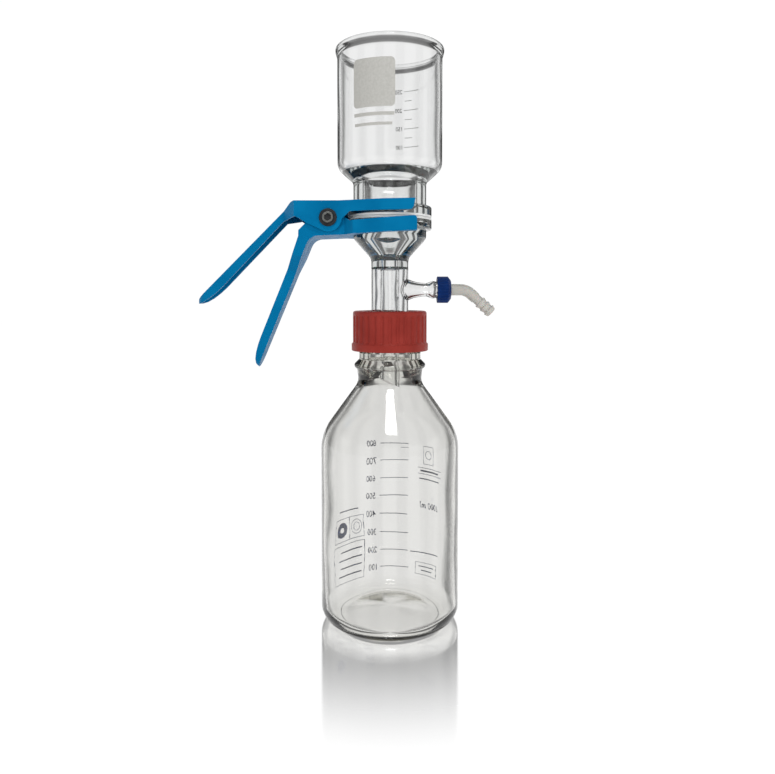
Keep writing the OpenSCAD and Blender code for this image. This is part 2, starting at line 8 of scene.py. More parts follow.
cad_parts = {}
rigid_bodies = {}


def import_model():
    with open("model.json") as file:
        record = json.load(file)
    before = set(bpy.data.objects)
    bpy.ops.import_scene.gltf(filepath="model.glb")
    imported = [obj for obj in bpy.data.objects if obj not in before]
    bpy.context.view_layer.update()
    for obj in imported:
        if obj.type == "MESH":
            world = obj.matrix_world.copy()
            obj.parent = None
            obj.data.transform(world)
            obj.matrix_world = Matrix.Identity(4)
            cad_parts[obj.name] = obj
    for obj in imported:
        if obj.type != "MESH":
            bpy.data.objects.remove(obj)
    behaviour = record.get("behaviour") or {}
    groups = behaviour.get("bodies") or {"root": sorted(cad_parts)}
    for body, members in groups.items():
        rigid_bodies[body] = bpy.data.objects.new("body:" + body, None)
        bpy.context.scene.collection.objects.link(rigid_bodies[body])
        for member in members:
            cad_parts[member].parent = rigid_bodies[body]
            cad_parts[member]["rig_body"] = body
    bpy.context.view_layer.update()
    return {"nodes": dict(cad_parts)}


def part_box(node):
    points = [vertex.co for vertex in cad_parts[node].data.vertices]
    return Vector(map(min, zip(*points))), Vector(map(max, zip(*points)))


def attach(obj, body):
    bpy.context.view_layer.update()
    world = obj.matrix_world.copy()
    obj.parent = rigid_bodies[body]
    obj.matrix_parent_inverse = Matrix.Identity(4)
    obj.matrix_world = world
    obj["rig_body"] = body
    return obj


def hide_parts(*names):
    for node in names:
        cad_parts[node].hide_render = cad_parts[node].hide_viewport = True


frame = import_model()
MM = 0.001
TAU = 2 * math.pi
rad = math.radians
scene = bpy.context.scene


def mm_box(node):
    """Lowest and highest corner of a CAD node in millimetres."""
    lo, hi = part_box(node)
    return lo / MM, hi / MM


def body_of(node):
    """The body that the frame gives a CAD node."""
    return frame["nodes"][node]["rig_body"]


# ---------------------------------------------------------------- materials

def principled(name, colour, rough, **sockets):
    """A new material; sockets are Principled inputs with _ for each space."""
    m = bpy.data.materials.new(name)
    m.use_nodes = True
    p = m.node_tree.nodes["Principled BSDF"]
    p.inputs["Base Color"].default_value = (*colour, 1)
    p.inputs["Roughness"].default_value = rough
    for key, value in sockets.items():
        p.inputs[key.replace("_", " ")].default_value = value
    return m


def node(m, kind, **inputs):
    """A new shader node with its inputs set."""
    n = m.node_tree.nodes.new(kind)
    for key, value in inputs.items():
        n.inputs[key].default_value = value
    return n


def noise_node(m, scale, detail=4.0, rough=0.5, stretch=None):
    """Noise in the object's own coordinates, in features per metre."""
    links = m.node_tree.links
    where = m.node_tree.nodes.new("ShaderNodeTexCoord")
    out = where.outputs["Object"]
    if stretch:
        mapping = m.node_tree.nodes.new("ShaderNodeMapping")
        mapping.inputs["Scale"].default_value = stretch
        links.new(out, mapping.inputs["Vector"])
        out = mapping.outputs["Vector"]
    n = node(m, "ShaderNodeTexNoise", Scale=scale, Detail=detail, Roughness=rough)
    links.new(out, n.inputs["Vector"])
    return n


def tint(m, low, high, scale, spread=(0.35, 0.65), stretch=None, detail=4.0):
    """Base colour that drifts between two tones."""
    n = noise_node(m, scale, detail, stretch=stretch)
    ramp = m.node_tree.nodes.new("ShaderNodeValToRGB")
    ramp.color_ramp.elements[0].position = spread[0]
    ramp.color_ramp.elements[1].position = spread[1]
    ramp.color_ramp.elements[0].color = (*low, 1)
    ramp.color_ramp.elements[1].color = (*high, 1)
    m.node_tree.links.new(n.outputs["Fac"], ramp.inputs["Fac"])
    m.node_tree.links.new(ramp.outputs["Color"], m.node_tree.nodes["Principled BSDF"].inputs["Base Color"])


def rough_map(m, low, high, scale):
    """Roughness that drifts between two values."""
    n = noise_node(m, scale, 5.0)
    span = node(m, "ShaderNodeMapRange", **{"From Min": 0.35, "From Max": 0.65, "To Min": low, "To Max": high})
    m.node_tree.links.new(n.outputs["Fac"], span.inputs["Value"])
    m.node_tree.links.new(span.outputs["Result"], m.node_tree.nodes["Principled BSDF"].inputs["Roughness"])


def bump(m, layers):
    """Layers of (scale, strength, distance in mm, stretch) stacked into the normal."""
    links = m.node_tree.links
    last = None
    for scale, strength, distance, stretch in layers:
        n = noise_node(m, scale, 6.0, 0.6, stretch)
        b = node(m, "ShaderNodeBump", Strength=strength, Distance=distance * MM)
        links.new(n.outputs["Fac"], b.inputs["Height"])
        if last:
            links.new(last.outputs["Normal"], b.inputs["Normal"])
        last = b
    links.new(last.outputs["Normal"], m.node_tree.nodes["Principled BSDF"].inputs["Normal"])


def clear_glass(name, wave, tone, density):
    """Borosilicate glass with wavy faces; tone and density colour it by thickness."""
    m = principled(name, (1.0, 1.0, 1.0), 0.0, IOR=GLASS_IOR, Transmission_Weight=1.0)
    bump(m, wave)
    volume = node(m, "ShaderNodeVolumeAbsorption", Color=(*tone, 1), Density=density)
    m.node_tree.links.new(volume.outputs["Volume"], m.node_tree.nodes["Material Output"].inputs["Volume"])
    return m


GLASS_IOR = 1.473
bottle_glass = clear_glass("moulded_glass", [(22, 0.10, 1.2, (1, 1, 0.35)), (160, 0.02, 0.2, None)],
                           (0.60, 0.59, 0.52), 58.0)
blown_glass = clear_glass("blown_glass", [(45, 0.05, 0.5, (1, 1, 0.3)), (300, 0.01, 0.1, None)],
                          (0.56, 0.60, 0.58), 26.0)
ground_glass = principled("ground_glass", (0.92, 0.93, 0.92), 0.42, IOR=GLASS_IOR, Transmission_Weight=0.35)
rough_map(ground_glass, 0.34, 0.5, 900)
bump(ground_glass, [(2600, 0.5, 0.02, None)])

cap_red = principled("red_plastic", (0.25, 0.026, 0.019), 0.45, IOR=1.5, Specular_IOR_Level=0.22,
                     Specular_Tint=(1, 0.6, 0.55, 1))
tint(cap_red, (0.22, 0.021, 0.015), (0.28, 0.031, 0.023), 70, (0.3, 0.7))
rough_map(cap_red, 0.38, 0.55, 220)
bump(cap_red, [(900, 0.16, 0.05, None), (120, 0.08, 0.2, None)])

cap_blue = principled("blue_plastic", (0.003, 0.018, 0.095), 0.45, IOR=1.5, Specular_IOR_Level=0.15,
                      Specular_Tint=(0.3, 0.5, 1, 1))
tint(cap_blue, (0.002, 0.014, 0.08), (0.004, 0.022, 0.115), 150, (0.3, 0.7))
rough_map(cap_blue, 0.4, 0.55, 400)
bump(cap_blue, [(1800, 0.14, 0.03, None), (260, 0.06, 0.1, None)])

silicone = principled("silicone", (0.62, 0.63, 0.60), 0.45, IOR=1.41, Subsurface_Weight=0.25, Subsurface_Scale=0.003)
tint(silicone, (0.55, 0.56, 0.53), (0.68, 0.69, 0.66), 130, (0.3, 0.7))
bump(silicone, [(1300, 0.15, 0.04, None)])
rough_map(silicone, 0.38, 0.55, 300)

ptfe = principled("ptfe", (0.86, 0.86, 0.84), 0.33, IOR=1.36, Subsurface_Weight=0.2, Subsurface_Scale=0.002)
tint(ptfe, (0.80, 0.80, 0.78), (0.9, 0.9, 0.88), 200, (0.3, 0.7))
rough_map(ptfe, 0.28, 0.42, 500)
bump(ptfe, [(1500, 0.08, 0.03, None)])

frit_white = principled("sintered_glass", (0.87, 0.87, 0.85), 0.85, IOR=1.45, Subsurface_Weight=0.3,
                        Subsurface_Scale=0.002)
tint(frit_white, (0.72, 0.73, 0.71), (0.92, 0.92, 0.90), 1400, (0.38, 0.6), detail=2.0)
bump(frit_white, [(2200, 0.7, 0.12, None)])

paper = principled("membrane", (0.88, 0.88, 0.87), 0.8, IOR=1.4, Subsurface_Weight=0.15, Subsurface_Scale=0.001)
tint(paper, (0.83, 0.83, 0.82), (0.92, 0.92, 0.91), 800, (0.35, 0.65))
bump(paper, [(3500, 0.35, 0.03, None)])

nozzle_pp = principled("natural_polypropylene", (0.46, 0.445, 0.41), 0.4, IOR=1.49, Subsurface_Weight=0.1,
                       Subsurface_Scale=0.002, Specular_IOR_Level=0.3)
tint(nozzle_pp, (0.42, 0.405, 0.37), (0.50, 0.485, 0.45), 90, (0.3, 0.7))
rough_map(nozzle_pp, 0.3, 0.46, 260)
bump(nozzle_pp, [(1100, 0.12, 0.04, None), (160, 0.08, 0.15, None)])

anodised = principled("anodised_blue", (0.002, 0.155, 0.345), 0.4, IOR=1.5, Specular_IOR_Level=0.12,
                      Specular_Tint=(0.02, 0.4, 0.75, 1))
tint(anodised, (0.001, 0.125, 0.29), (0.002, 0.160, 0.35), 45, (0.3, 0.7), stretch=(1, 2.2, 1))
rough_map(anodised, 0.34, 0.48, 160)
bump(anodised, [(800, 0.06, 0.03, None), (90, 0.05, 0.15, None)])

spring_wire = principled("spring_steel", (0.55, 0.55, 0.56), 0.24, Metallic=1.0)
tint(spring_wire, (0.46, 0.46, 0.47), (0.62, 0.62, 0.63), 300, (0.3, 0.7))
rough_map(spring_wire, 0.18, 0.34, 700)
bump(spring_wire, [(2400, 0.12, 0.02, (1, 0.2, 1))])

black_oxide_and_painted_shade = principled("black_oxide_and_painted_shade", (0.018, 0.019, 0.021), 0.36, Metallic=0.75)
tint(black_oxide_and_painted_shade, (0.012, 0.013, 0.015), (0.032, 0.033, 0.035), 260, (0.3, 0.7))
rough_map(black_oxide_and_painted_shade, 0.28, 0.5, 800)
bump(black_oxide_and_painted_shade, [(2200, 0.2, 0.03, None)])

screw_steel = principled("screw_steel", (0.12, 0.125, 0.115), 0.34, Metallic=0.9)
tint(screw_steel, (0.08, 0.085, 0.08), (0.17, 0.175, 0.165), 500, (0.3, 0.7))
rough_map(screw_steel, 0.26, 0.44, 900)
bump(screw_steel, [(2400, 0.15, 0.02, None)])

nylon = principled("nylon", (0.72, 0.71, 0.66), 0.4, IOR=1.53, Subsurface_Weight=0.25, Subsurface_Scale=0.002)
tint(nylon, (0.66, 0.65, 0.60), (0.78, 0.77, 0.72), 200, (0.3, 0.7))
bump(nylon, [(1500, 0.1, 0.03, None)])

bottle_ink = principled("bottle_enamel", (0.22, 0.26, 0.42), 0.55, IOR=1.5)
tint(bottle_ink, (0.17, 0.21, 0.37), (0.28, 0.32, 0.48), 1500, (0.35, 0.65))
bump(bottle_ink, [(3000, 0.2, 0.02, None)])
deep_ink = principled("deep_blue_enamel", (0.07, 0.13, 0.42), 0.55, IOR=1.5)
tint(deep_ink, (0.05, 0.10, 0.36), (0.10, 0.17, 0.48), 1500, (0.35, 0.65))
bump(deep_ink, [(3000, 0.2, 0.02, None)])
scale_ink = principled("scale_enamel", (0.30, 0.30, 0.28), 0.6, IOR=1.5)
tint(scale_ink, (0.24, 0.24, 0.225), (0.36, 0.36, 0.34), 1200, (0.35, 0.65))
bump(scale_ink, [(2600, 0.25, 0.02, None)])
funnel_ink = principled("funnel_enamel", (0.42, 0.415, 0.39), 0.6, IOR=1.5)
tint(funnel_ink, (0.395, 0.39, 0.365), (0.445, 0.44, 0.415), 700, (0.35, 0.65))
bump(funnel_ink, [(2600, 0.25, 0.02, None)])


# ---------------------------------------------------------------- mesh helpers

def arc(x, z, r, a, b, n=20):
    """Points on an arc about (x, z), from angle a to angle b in degrees."""
    return [(x + r * math.cos(rad(a + (b - a) * i / n)), z + r * math.sin(rad(a + (b - a) * i / n)))
            for i in range(n + 1)]


def finish_mesh(name, verts, faces, material, sharp=32.0):
    """A smooth shaded object from points in mm; edges steeper than sharp degrees stay sharp."""
    me = bpy.data.meshes.new(name)
    me.from_pydata([Vector(v) * MM for v in verts], [], faces)
    me.validate()
    bm = bmesh.new()
    bm.from_mesh(me)
    bmesh.ops.recalc_face_normals(bm, faces=bm.faces)
    bm.to_mesh(me)
    bm.free()
    me.polygons.foreach_set("use_smooth", [True] * len(me.polygons))
    me.set_sharp_from_angle(angle=rad(sharp))
    me.materials.append(material)
    o = bpy.data.objects.new(name, me)
    scene.collection.objects.link(o)
    return o


def place(o, node_name, replaced):
    """Puts a piece on its node's body, in the place of the CAD nodes it stands for."""
    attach(o, body_of(node_name))
    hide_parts(*replaced)


def turned(name, rows, material, segs=192, shape=None, closed=True, sharp=32.0):
    """A solid of revolution about Z from (r, z) rows; a row at r 0 becomes a pole.
    shape(i, r, z, angle) may return a changed (r, z) for row i, for flutes, threads or hexagons."""
    verts, rings = [], []
    for i, (r, z) in enumerate(rows):
        if r < 1e-6:
            rings.append([len(verts)])
            verts.append((0, 0, z))
            continue
        ring = []
        for j in range(segs):
            a = TAU * j / segs
            rr, zz = shape(i, r, z, a) if shape else (r, z)
            ring.append(len(verts))
            verts.append((rr * math.cos(a), rr * math.sin(a), zz))
        rings.append(ring)
    faces = []
    pairs = list(zip(rings, rings[1:])) + ([(rings[-1], rings[0])] if closed else [])
    for a, b in pairs:
        for j in range(segs):
            k = (j + 1) % segs
            if len(a) == 1:
                faces.append((a[0], b[k], b[j]))
            elif len(b) == 1:
                faces.append((a[j], a[k], b[0]))
            else:
                faces.append((a[j], a[k], b[k], b[j]))
    return finish_mesh(name, verts, faces, material, sharp)


def lay(o, matrix):
    """Turns a piece that was built about Z into its place; matrix is in millimetres."""
    m = matrix.copy()
    m.translation *= MM
    o.data.transform(m)
    return o


def along_x(z):
    """From the Z axis to the line along +X at height z."""
    return Matrix.Translation((0, 0, z)) @ Matrix.Rotation(rad(90), 4, "Y")


def along_y(x, z):
    """From the Z axis to the line along +Y through (x, z)."""
    return Matrix.Translation((x, 0, z)) @ Matrix.Rotation(rad(-90), 4, "X")


def ring_rows(r0, r1, z0, z1, f, n=4):
    """Rows of a ring with small rounded edges."""
    return (arc(r0 + f, z0 + f, f, 180, 270, n) + arc(r1 - f, z0 + f, f, 270, 360, n)
            + arc(r1 - f, z1 - f, f, 0, 90, n) + arc(r0 + f, z1 - f, f, 90, 180, n))


def dense(rows, z0, z1, step):
    """Adds rows to the straight stretches between heights z0 and z1."""
    out = []
    for (r, z), (r2, z2) in zip(rows, rows[1:]):
        out.append((r, z))
        lo, hi = min(z, z2), max(z, z2)
        if hi - lo > step and hi > z0 and lo < z1:
            n = int((hi - lo) / step)
            out += [(r + (r2 - r) * k / (n + 1), z + (z2 - z) * k / (n + 1)) for k in range(1, n + 1)]
    return out + rows[-1:]


def ease(x):
    """Smooth step from 0 to 1."""
    x = min(1.0, max(0.0, x))
    return x * x * (3 - 2 * x)


def thread_height(z, a, z0, pitch, turns, w_wall, w_tip):
    """Share of the full thread depth at height z and angle a, from 0 to 1."""
    best, run_out = 0.0, 0.12
    for k in range(int(turns) + 1):
        t = a / TAU + k
        if t > turns:
            continue
        d = abs(z - z0 - pitch * t)
        h = 1 - ease((d - w_tip / 2) / ((w_wall - w_tip) / 2))
        fade = min(1.0, t / run_out, (turns - t) / run_out)
        best = max(best, h * max(0.0, fade))
    return best


# ---------------------------------------------------------------- bottle

top = mm_box("bottle")[1]
R, LIP = top.x, top.z
NECK_R, BEAD_R, BEAD_Z, BEAD_S = 23.3, 26.1, 187.8, 2.4
COLLAR_Z, FINISH_R, BORE = 196.5, 21.0, 15.5
SCREW_PITCH, SCREW_DEPTH, SCREW_FOOT, SCREW_TIP = 4.0, 1.5, 2.0, 0.9
SHOULDER_R, SHOULDER_A, SHOULDER_Z, HEEL = 35.0, 36.3, 126.0, 11.0
WALL, NECK_TURN, IN_TURN, FLOOR_Z = 3.1, 12, 20, 5
ca, sa, ta = math.cos(rad(SHOULDER_A)), math.sin(rad(SHOULDER_A)), math.tan(rad(SHOULDER_A))
slope_r, slope_z = R - SHOULDER_R + SHOULDER_R * ca, SHOULDER_Z + SHOULDER_R * sa
root_edge = NECK_R + NECK_TURN * (1 - ca)
root_z = slope_z + (slope_r - root_edge) / ta + NECK_TURN * sa
in_s = SHOULDER_R - WALL
in_edge = BORE + IN_TURN * (1 - ca)
in_root_z = SHOULDER_Z + in_s * sa + (R - SHOULDER_R + in_s * ca - in_edge) / ta + IN_TURN * sa
in_heel = HEEL - WALL
outside = ([(35.5 * i / 12, 3.5 * (1 - (i / 12) ** 2)) for i in range(12)]
           + arc(36.4, 0.9, 0.9, 218, 270, 5) + [(R - HEEL, 0.0)]
           + arc(R - HEEL, HEEL, HEEL, -90, 0, 28)[1:]
           + arc(R - SHOULDER_R, SHOULDER_Z, SHOULDER_R, 0, SHOULDER_A, 28)
           + arc(NECK_R + NECK_TURN, root_z, NECK_TURN, 180 + SHOULDER_A, 180, 18)
           + arc(BEAD_R - BEAD_S, BEAD_Z - 0.6, BEAD_S, -80, 48, 28)
           + [(22.6, BEAD_Z + 3.9), (22.6, COLLAR_Z), (FINISH_R, COLLAR_Z + 1.6), (FINISH_R, LIP - 1.5)]
           + arc(FINISH_R - 1.5, LIP - 1.5, 1.5, 0, 90, 8)[1:])
inside = (arc(BORE + 1.5, LIP - 1.5, 1.5, 90, 180, 8)
          + arc(BORE + IN_TURN, in_root_z, IN_TURN, 180, 180 + SHOULDER_A, 22)
          + arc(R - SHOULDER_R, SHOULDER_Z, in_s, SHOULDER_A, 0, 28)
          + arc(R - HEEL, FLOOR_Z + in_heel, in_heel, 0, -90, 22)
          + [((R - HEEL) * i / 12, FLOOR_Z + 3 * (1 - (i / 12) ** 2)) for i in range(11, -1, -1)])
# Finer rows where the screw thread is
outside = dense(outside, 12, 221, 2.0)
bottle_rows = []
for (r, z), (_, z_next) in zip(outside, outside[1:]):
    bottle_rows.append((r, z))
    if r > 20 and z >= COLLAR_Z + 1.5 and z < z_next <= LIP - 1.4:
        steps = max(1, int((z_next - z) / 0.3))
        bottle_rows += [(r, z + (z_next - z) * k / steps) for k in range(1, steps)]
bottle_rows += outside[-1:] + dense(inside, 12, 215, 4.0)
outer_count = next(i for i, (r, z) in enumerate(bottle_rows) if z >= LIP - 1e-6) + 1


def bottle_shape(i, r, z, a):
    """Screw thread outside; inside, the unevenness of a blown wall and floor."""
    if i < outer_count:
        if COLLAR_Z + 1.6 <= z <= LIP - 1.5 and r > 20:
            return r + SCREW_DEPTH * thread_height(z, a, COLLAR_Z + 5.5, SCREW_PITCH, 2.2, SCREW_FOOT, SCREW_TIP), z
        return r, z
    p = Vector((math.cos(a) * 1.4, math.sin(a) * 1.4, z * 0.022))
    drift = noise.noise(p) * 0.55
    drift *= ease((z - 6) / 14) * ease((196 - z) / 14)
    ripple = noise.noise(Vector((math.cos(a) * 1.1 + 5, math.sin(a) * 1.1, 3.0))) * 0.8
    low = ease((26 - z) / 14) * ease(r / 20)
    return r + drift, z + ripple * low


bottle = turned("bottle_body", bottle_rows, bottle_glass, 256, bottle_shape, closed=False)
place(bottle, "bottle", ["bottle"])


# ---------------------------------------------------------------- prints

INK_LIFT, INK_DEPTH = 0.03, 0.04


def printed(name, shapes, material, radius, node_name, back=True):
    """Flat (u, z) polygons in mm wrapped on a cylinder: u runs to the right as read from outside,
    from the line at +Y (the back) or at -Y (the front)."""
    verts, faces = [], []
    for poly in shapes:
        base = len(verts)
        for u, z in poly:
            a = u / radius
            x, y = radius * math.sin(a), radius * math.cos(a)
            verts.append((-x, y, z) if back else (x, -y, z))
        faces.append(tuple(range(base, base + len(poly))))
    me = bpy.data.meshes.new(name)
    me.from_pydata([Vector(v) * MM for v in verts], [], faces)
    bm = bmesh.new()
    bm.from_mesh(me)
    for f in bm.faces:
        c = f.calc_center_median()
        if f.normal.dot(Vector((c.x, c.y, 0))) < 0:
            f.normal_flip()
    solid = bmesh.ops.extrude_face_region(bm, geom=list(bm.faces))
    for v in [g for g in solid["geom"] if isinstance(g, bmesh.types.BMVert)]:
        d = Vector((v.co.x, v.co.y, 0)).normalized()
        v.co += d * INK_DEPTH * MM
    bmesh.ops.recalc_face_normals(bm, faces=bm.faces)
    bm.to_mesh(me)
    bm.free()
    me.materials.append(material)
    o = bpy.data.objects.new(name, me)
    scene.collection.objects.link(o)
    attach(o, body_of(node_name))


def bar(u0, u1, z, h):
    """A printed line, cut into short lengths so that it follows the glass."""
    n = max(1, int(abs(u1 - u0) / 2))
    xs = [u0 + (u1 - u0) * i / n for i in range(n + 1)]
    return [[(a, z - h / 2), (b, z - h / 2), (b, z + h / 2), (a, z + h / 2)] for a, b in zip(xs, xs[1:])]


def outline(u0, u1, z0, z1, w):
    """A printed frame with lines of width w."""
    return (bar(u0, u1, z0, w) + bar(u0, u1, z1, w)
            + [[(u, z0 + w / 2), (u + w, z0 + w / 2), (u + w, z1 - w / 2), (u, z1 - w / 2)] for u in (u0, u1 - w)])


def circle_line(u, z, r, w, n=40):
    """A printed ring of outer radius r and width w."""
    return [[(u + q * math.cos(t), z + q * math.sin(t)) for q, t in
             ((r, TAU * i / n), (r, TAU * (i + 1) / n), (r - w, TAU * (i + 1) / n), (r - w, TAU * i / n))]
            for i in range(n)]


def lettering(text, u, z, size, squeeze):
    """Polygons of a short number or unit, its left end at u and its middle at height z."""
    curve = bpy.data.curves.new("letters", "FONT")
    curve.body = text
    curve.size = size
    curve.offset = 0.04
    curve.resolution_u = 3
    o = bpy.data.objects.new("letters", curve)
    scene.collection.objects.link(o)
    dg = bpy.context.evaluated_depsgraph_get()
    me = bpy.data.meshes.new_from_object(o.evaluated_get(dg))
    xs = [v.co.x for v in me.vertices]
    ys = [v.co.y for v in me.vertices]
    mid = (min(ys) + max(ys)) / 2
    polys = [[(u + (me.vertices[i].co.x - min(xs)) * squeeze, z + me.vertices[i].co.y - mid)
              for i in p.vertices] for p in me.polygons]
    bpy.data.objects.remove(o)
    bpy.data.curves.remove(curve)
    bpy.data.meshes.remove(me)
    return polys


# The height of the first line, and of 100 ml in the straight body
FIRST_MARK, MARK_STEP = 18.4, 14.5
marks = []
for step in range(8):
    z = FIRST_MARK + MARK_STEP * step
    marks += bar(-15.8, 8.2, z, 0.55)
    marks += lettering(str(100 * (step + 1)), 11.6, z, 7.2, 0.76)
marks += bar(-15.8, -8.6, z - 3.6, 0.35)
marks += lettering("1000 ml", -44.0, 71.0, 6.6, 0.85)
printed("bottle_scale", marks, bottle_ink, R + INK_LIFT, "bottle")

# Plain frames and bars in the places of the bottle's printed blocks
fields = outline(-42.0, -31.0, 104.0, 119.0, 0.4) + circle_line(-36.5, 111.5, 3.8, 0.4)
fields += bar(-51.0, -25.5, 100.6, 0.45) + bar(-51.0, -25.5, 95.6, 0.45) + bar(-47.0, -28.0, 98.1, 1.4)
fields += bar(-47.0, -26.5, 91.6, 0.9)
fields += bar(-46.0, -17.5, 32.6, 0.8)
fields += outline(-44.5, -22.0, 14.0, 24.0, 0.35) + bar(-41.0, -25.0, 20.8, 0.8) + bar(-39.0, -27.5, 17.4, 0.8)
fields += bar(28.0, 50.0, 67.8, 0.9)
fields += outline(22.5, 54.0, 45.0, 62.0, 0.4) + [[(38.2, 45.2), (38.6, 45.2), (38.6, 61.8), (38.2, 61.8)]]
fields += circle_line(30.4, 53.5, 5.8, 0.4) + circle_line(30.4, 53.5, 3.4, 0.35)
fields += outline(22.5, 54.0, 12.0, 42.0, 0.4)
for row in range(4):
    fields += bar(25.0, 46.5 + 1.2 * (row % 2), 36.8 - 6.4 * row, 1.0)
printed("bottle_fields", fields, bottle_ink, R + INK_LIFT, "bottle")
printed("bottle_spot", circle_line(46.6, 53.5, 5.6, 3.6), deep_ink, R + INK_LIFT, "bottle")


# ---------------------------------------------------------------- funnel

lo, hi = mm_box("funnel")
FOOT, TOP, FR = lo.z, hi.z, 38.0
HEAD_R, FLANGE_R, F_H = 26.5, 30.4, 9.0
BEAD, RIM_FLARE, RIM_FLARE_H, FUNNEL_WALL = 1.9, 1.2, 6.0, 2.3
turn, r1, r2 = 48, 4.0, 9.0
run = (FR - HEAD_R - (r1 + r2) * (1 - math.cos(rad(turn)))) / math.tan(rad(turn))
neck_z = FOOT + 23.85
wall_z = neck_z + (r1 + r2) * math.sin(rad(turn)) + run
rim_z = TOP - BEAD
in_r, hole = FR - FUNNEL_WALL, 19.25
in_r2 = r2 - FUNNEL_WALL
drop = (in_r - hole - in_r2) / math.tan(rad(62))
back_z = FOOT + F_H - 0.6
funnel_rows = ([(hole, FOOT), (FLANGE_R - 0.6, FOOT)]
               + arc(FLANGE_R - 0.6, FOOT + 0.6, 0.6, -90, 0, 5)[1:] + [(FLANGE_R, FOOT + 1.6)]
               + arc(FLANGE_R - 1.6, back_z - 1.6, 1.6, 0, 90, 8)
               + arc(HEAD_R + 0.5, back_z + 0.5, 0.5, 270, 180, 4)
               + arc(HEAD_R + r1, neck_z, r1, 180, 180 - turn, 16)
               + arc(FR - r2, wall_z, r2, -turn, 0, 24)
               + [(FR + RIM_FLARE * ease(k / 10), rim_z - RIM_FLARE_H * (1 - 0.9 * k / 10)) for k in range(11)]
               + arc(FR + RIM_FLARE + 0.1 - BEAD, rim_z, BEAD, -12, 180, 36)
               + arc(in_r - in_r2, wall_z + 0.6, in_r2, 0, -62, 24)
               + arc(hole + 6, wall_z - 7 - drop, 6, 118, 180, 14))


def funnel_shape(i, r, z, a):
    """The slight unevenness of the blown wall, on the inside."""
    if i < funnel_inner or z <= FOOT + 4:
        return r, z
    p = Vector((math.cos(a) * 1.3 + 9, math.sin(a) * 1.3, z * 0.02))
    return r + noise.noise(p) * 0.28 * ease((z - FOOT - 4) / 8) * ease((rim_z - 4 - z) / 10), z


GROUND_EDGE = 1.7


def frost(o, level):
    """Gives the ground face at this height, and the edge next to it, the second material."""
    for p in o.data.polygons:
        spots = [o.data.vertices[i].co / MM for i in p.vertices]
        flat = all(abs(v.z - level) < 1e-3 for v in spots)
        edge = all(abs(v.z - level) < GROUND_EDGE and v.xy.length > FLANGE_R - 0.8 for v in spots)
        p.material_index = 1 if flat or edge else 0


funnel_rows = dense(funnel_rows, FOOT + 12, rim_z - 1, 3.0)
funnel_inner = max(i for i, (r, z) in enumerate(funnel_rows) if z > rim_z) + 1
funnel = turned("funnel_body", funnel_rows, blown_glass, 256, funnel_shape)
funnel.data.materials.append(ground_glass)
frost(funnel, FOOT)
place(funnel, "funnel", ["funnel"])

# The height of the 100 ml line, and of each 50 ml above it
FUNNEL_MARK, FUNNEL_STEP = 352.8, 14.1
marks = []
for i in range(4):
    z = FUNNEL_MARK + FUNNEL_STEP * i
    marks += bar(-24.5, -12.0, z, 0.4) + lettering(str(100 + 50 * i), -10.4, z, 4.6, 0.85)
    if i < 3:
        marks += bar(-18.5, -12.6, z + FUNNEL_STEP / 2, 0.4)
printed("funnel_scale", marks, scale_ink, FR + INK_LIFT, "funnel")


def rounded_field(u0, u1, z0, z1, r):
    """A filled panel with round corners, in upright strips that follow the glass."""
    polys, n = [], 24

    def cut(u):
        """How far the round corner takes the strip's end back at u."""
        d = min(u - u0, u1 - u)
        return 0.0 if d >= r else r - math.sqrt(max(0.0, r * r - (r - d) ** 2))

    us = sorted({u0 + (u1 - u0) * i / n for i in range(n + 1)}
                | {u0 + r * k / 8 for k in range(9)} | {u1 - r * k / 8 for k in range(9)})
    for a, b in zip(us, us[1:]):
        polys.append([(a, z0 + cut(a)), (b, z0 + cut(b)), (b, z1 - cut(b)), (a, z1 - cut(a))])
    return polys


# A plain field and two bars where the maker's marking stands
panel = rounded_field(-27.0, 3.5, 366.0, 399.0, 3.0)
panel += bar(-26.5, 3.0, 361.3, 2.4) + bar(-26.0, 1.5, 354.6, 2.0)
printed("funnel_marking_field", panel, funnel_ink, FR + INK_LIFT, "funnel", back=False)


# ---------------------------------------------------------------- filter base

ARM_Z, JOINT = 242.4, 294.0
JR, JIN, DR, DIN, JB, JT, TIP = 13.5, 11.3, 6.95, 5.45, 209.0, 262.0, 173.5
turn, r1, r2 = 42, 6.0, 8.0
run = ((HEAD_R - JR) - (r1 + r2) * (1 - math.cos(rad(turn)))) / math.tan(rad(turn))
z1 = JT + (r1 + r2) * math.sin(rad(turn)) + run
seal_r = (JIN - DR) / 2
TIP_CUT, tip_low = 30.5, TIP - 1.0
head_rows = ([(DR, tip_low)] + arc(DR + seal_r, JT - 3 - seal_r, seal_r, 180, 0, 20)
             + arc(JIN + 0.5, JB + 0.5, 0.5, 180, 270, 4) + arc(JR - 0.5, JB + 0.5, 0.5, 270, 360, 4)
             + arc(JR + r2, JT, r2, 180, 180 - turn, 20)
             + arc(HEAD_R - r1, z1, r1, -turn, 0, 18)
             + arc(HEAD_R + 0.5, JOINT - F_H + 0.1, 0.5, 180, 90, 4)
             + arc(FLANGE_R - 1.6, JOINT - F_H + 2.2, 1.6, -90, 0, 8)
             + [(FLANGE_R, JOINT - 1.6)] + arc(FLANGE_R - 0.6, JOINT - 0.6, 0.6, 0, 90, 5)
             + [(20.05, JOINT), (20.05, JOINT - 3.2), (18.5, JOINT - 3.2), (DIN + 1.4, z1 - 9)]
             + arc(DIN + 3, z1 - 12.5, 3, 140, 180, 10)
             + [(DIN, tip_low)])


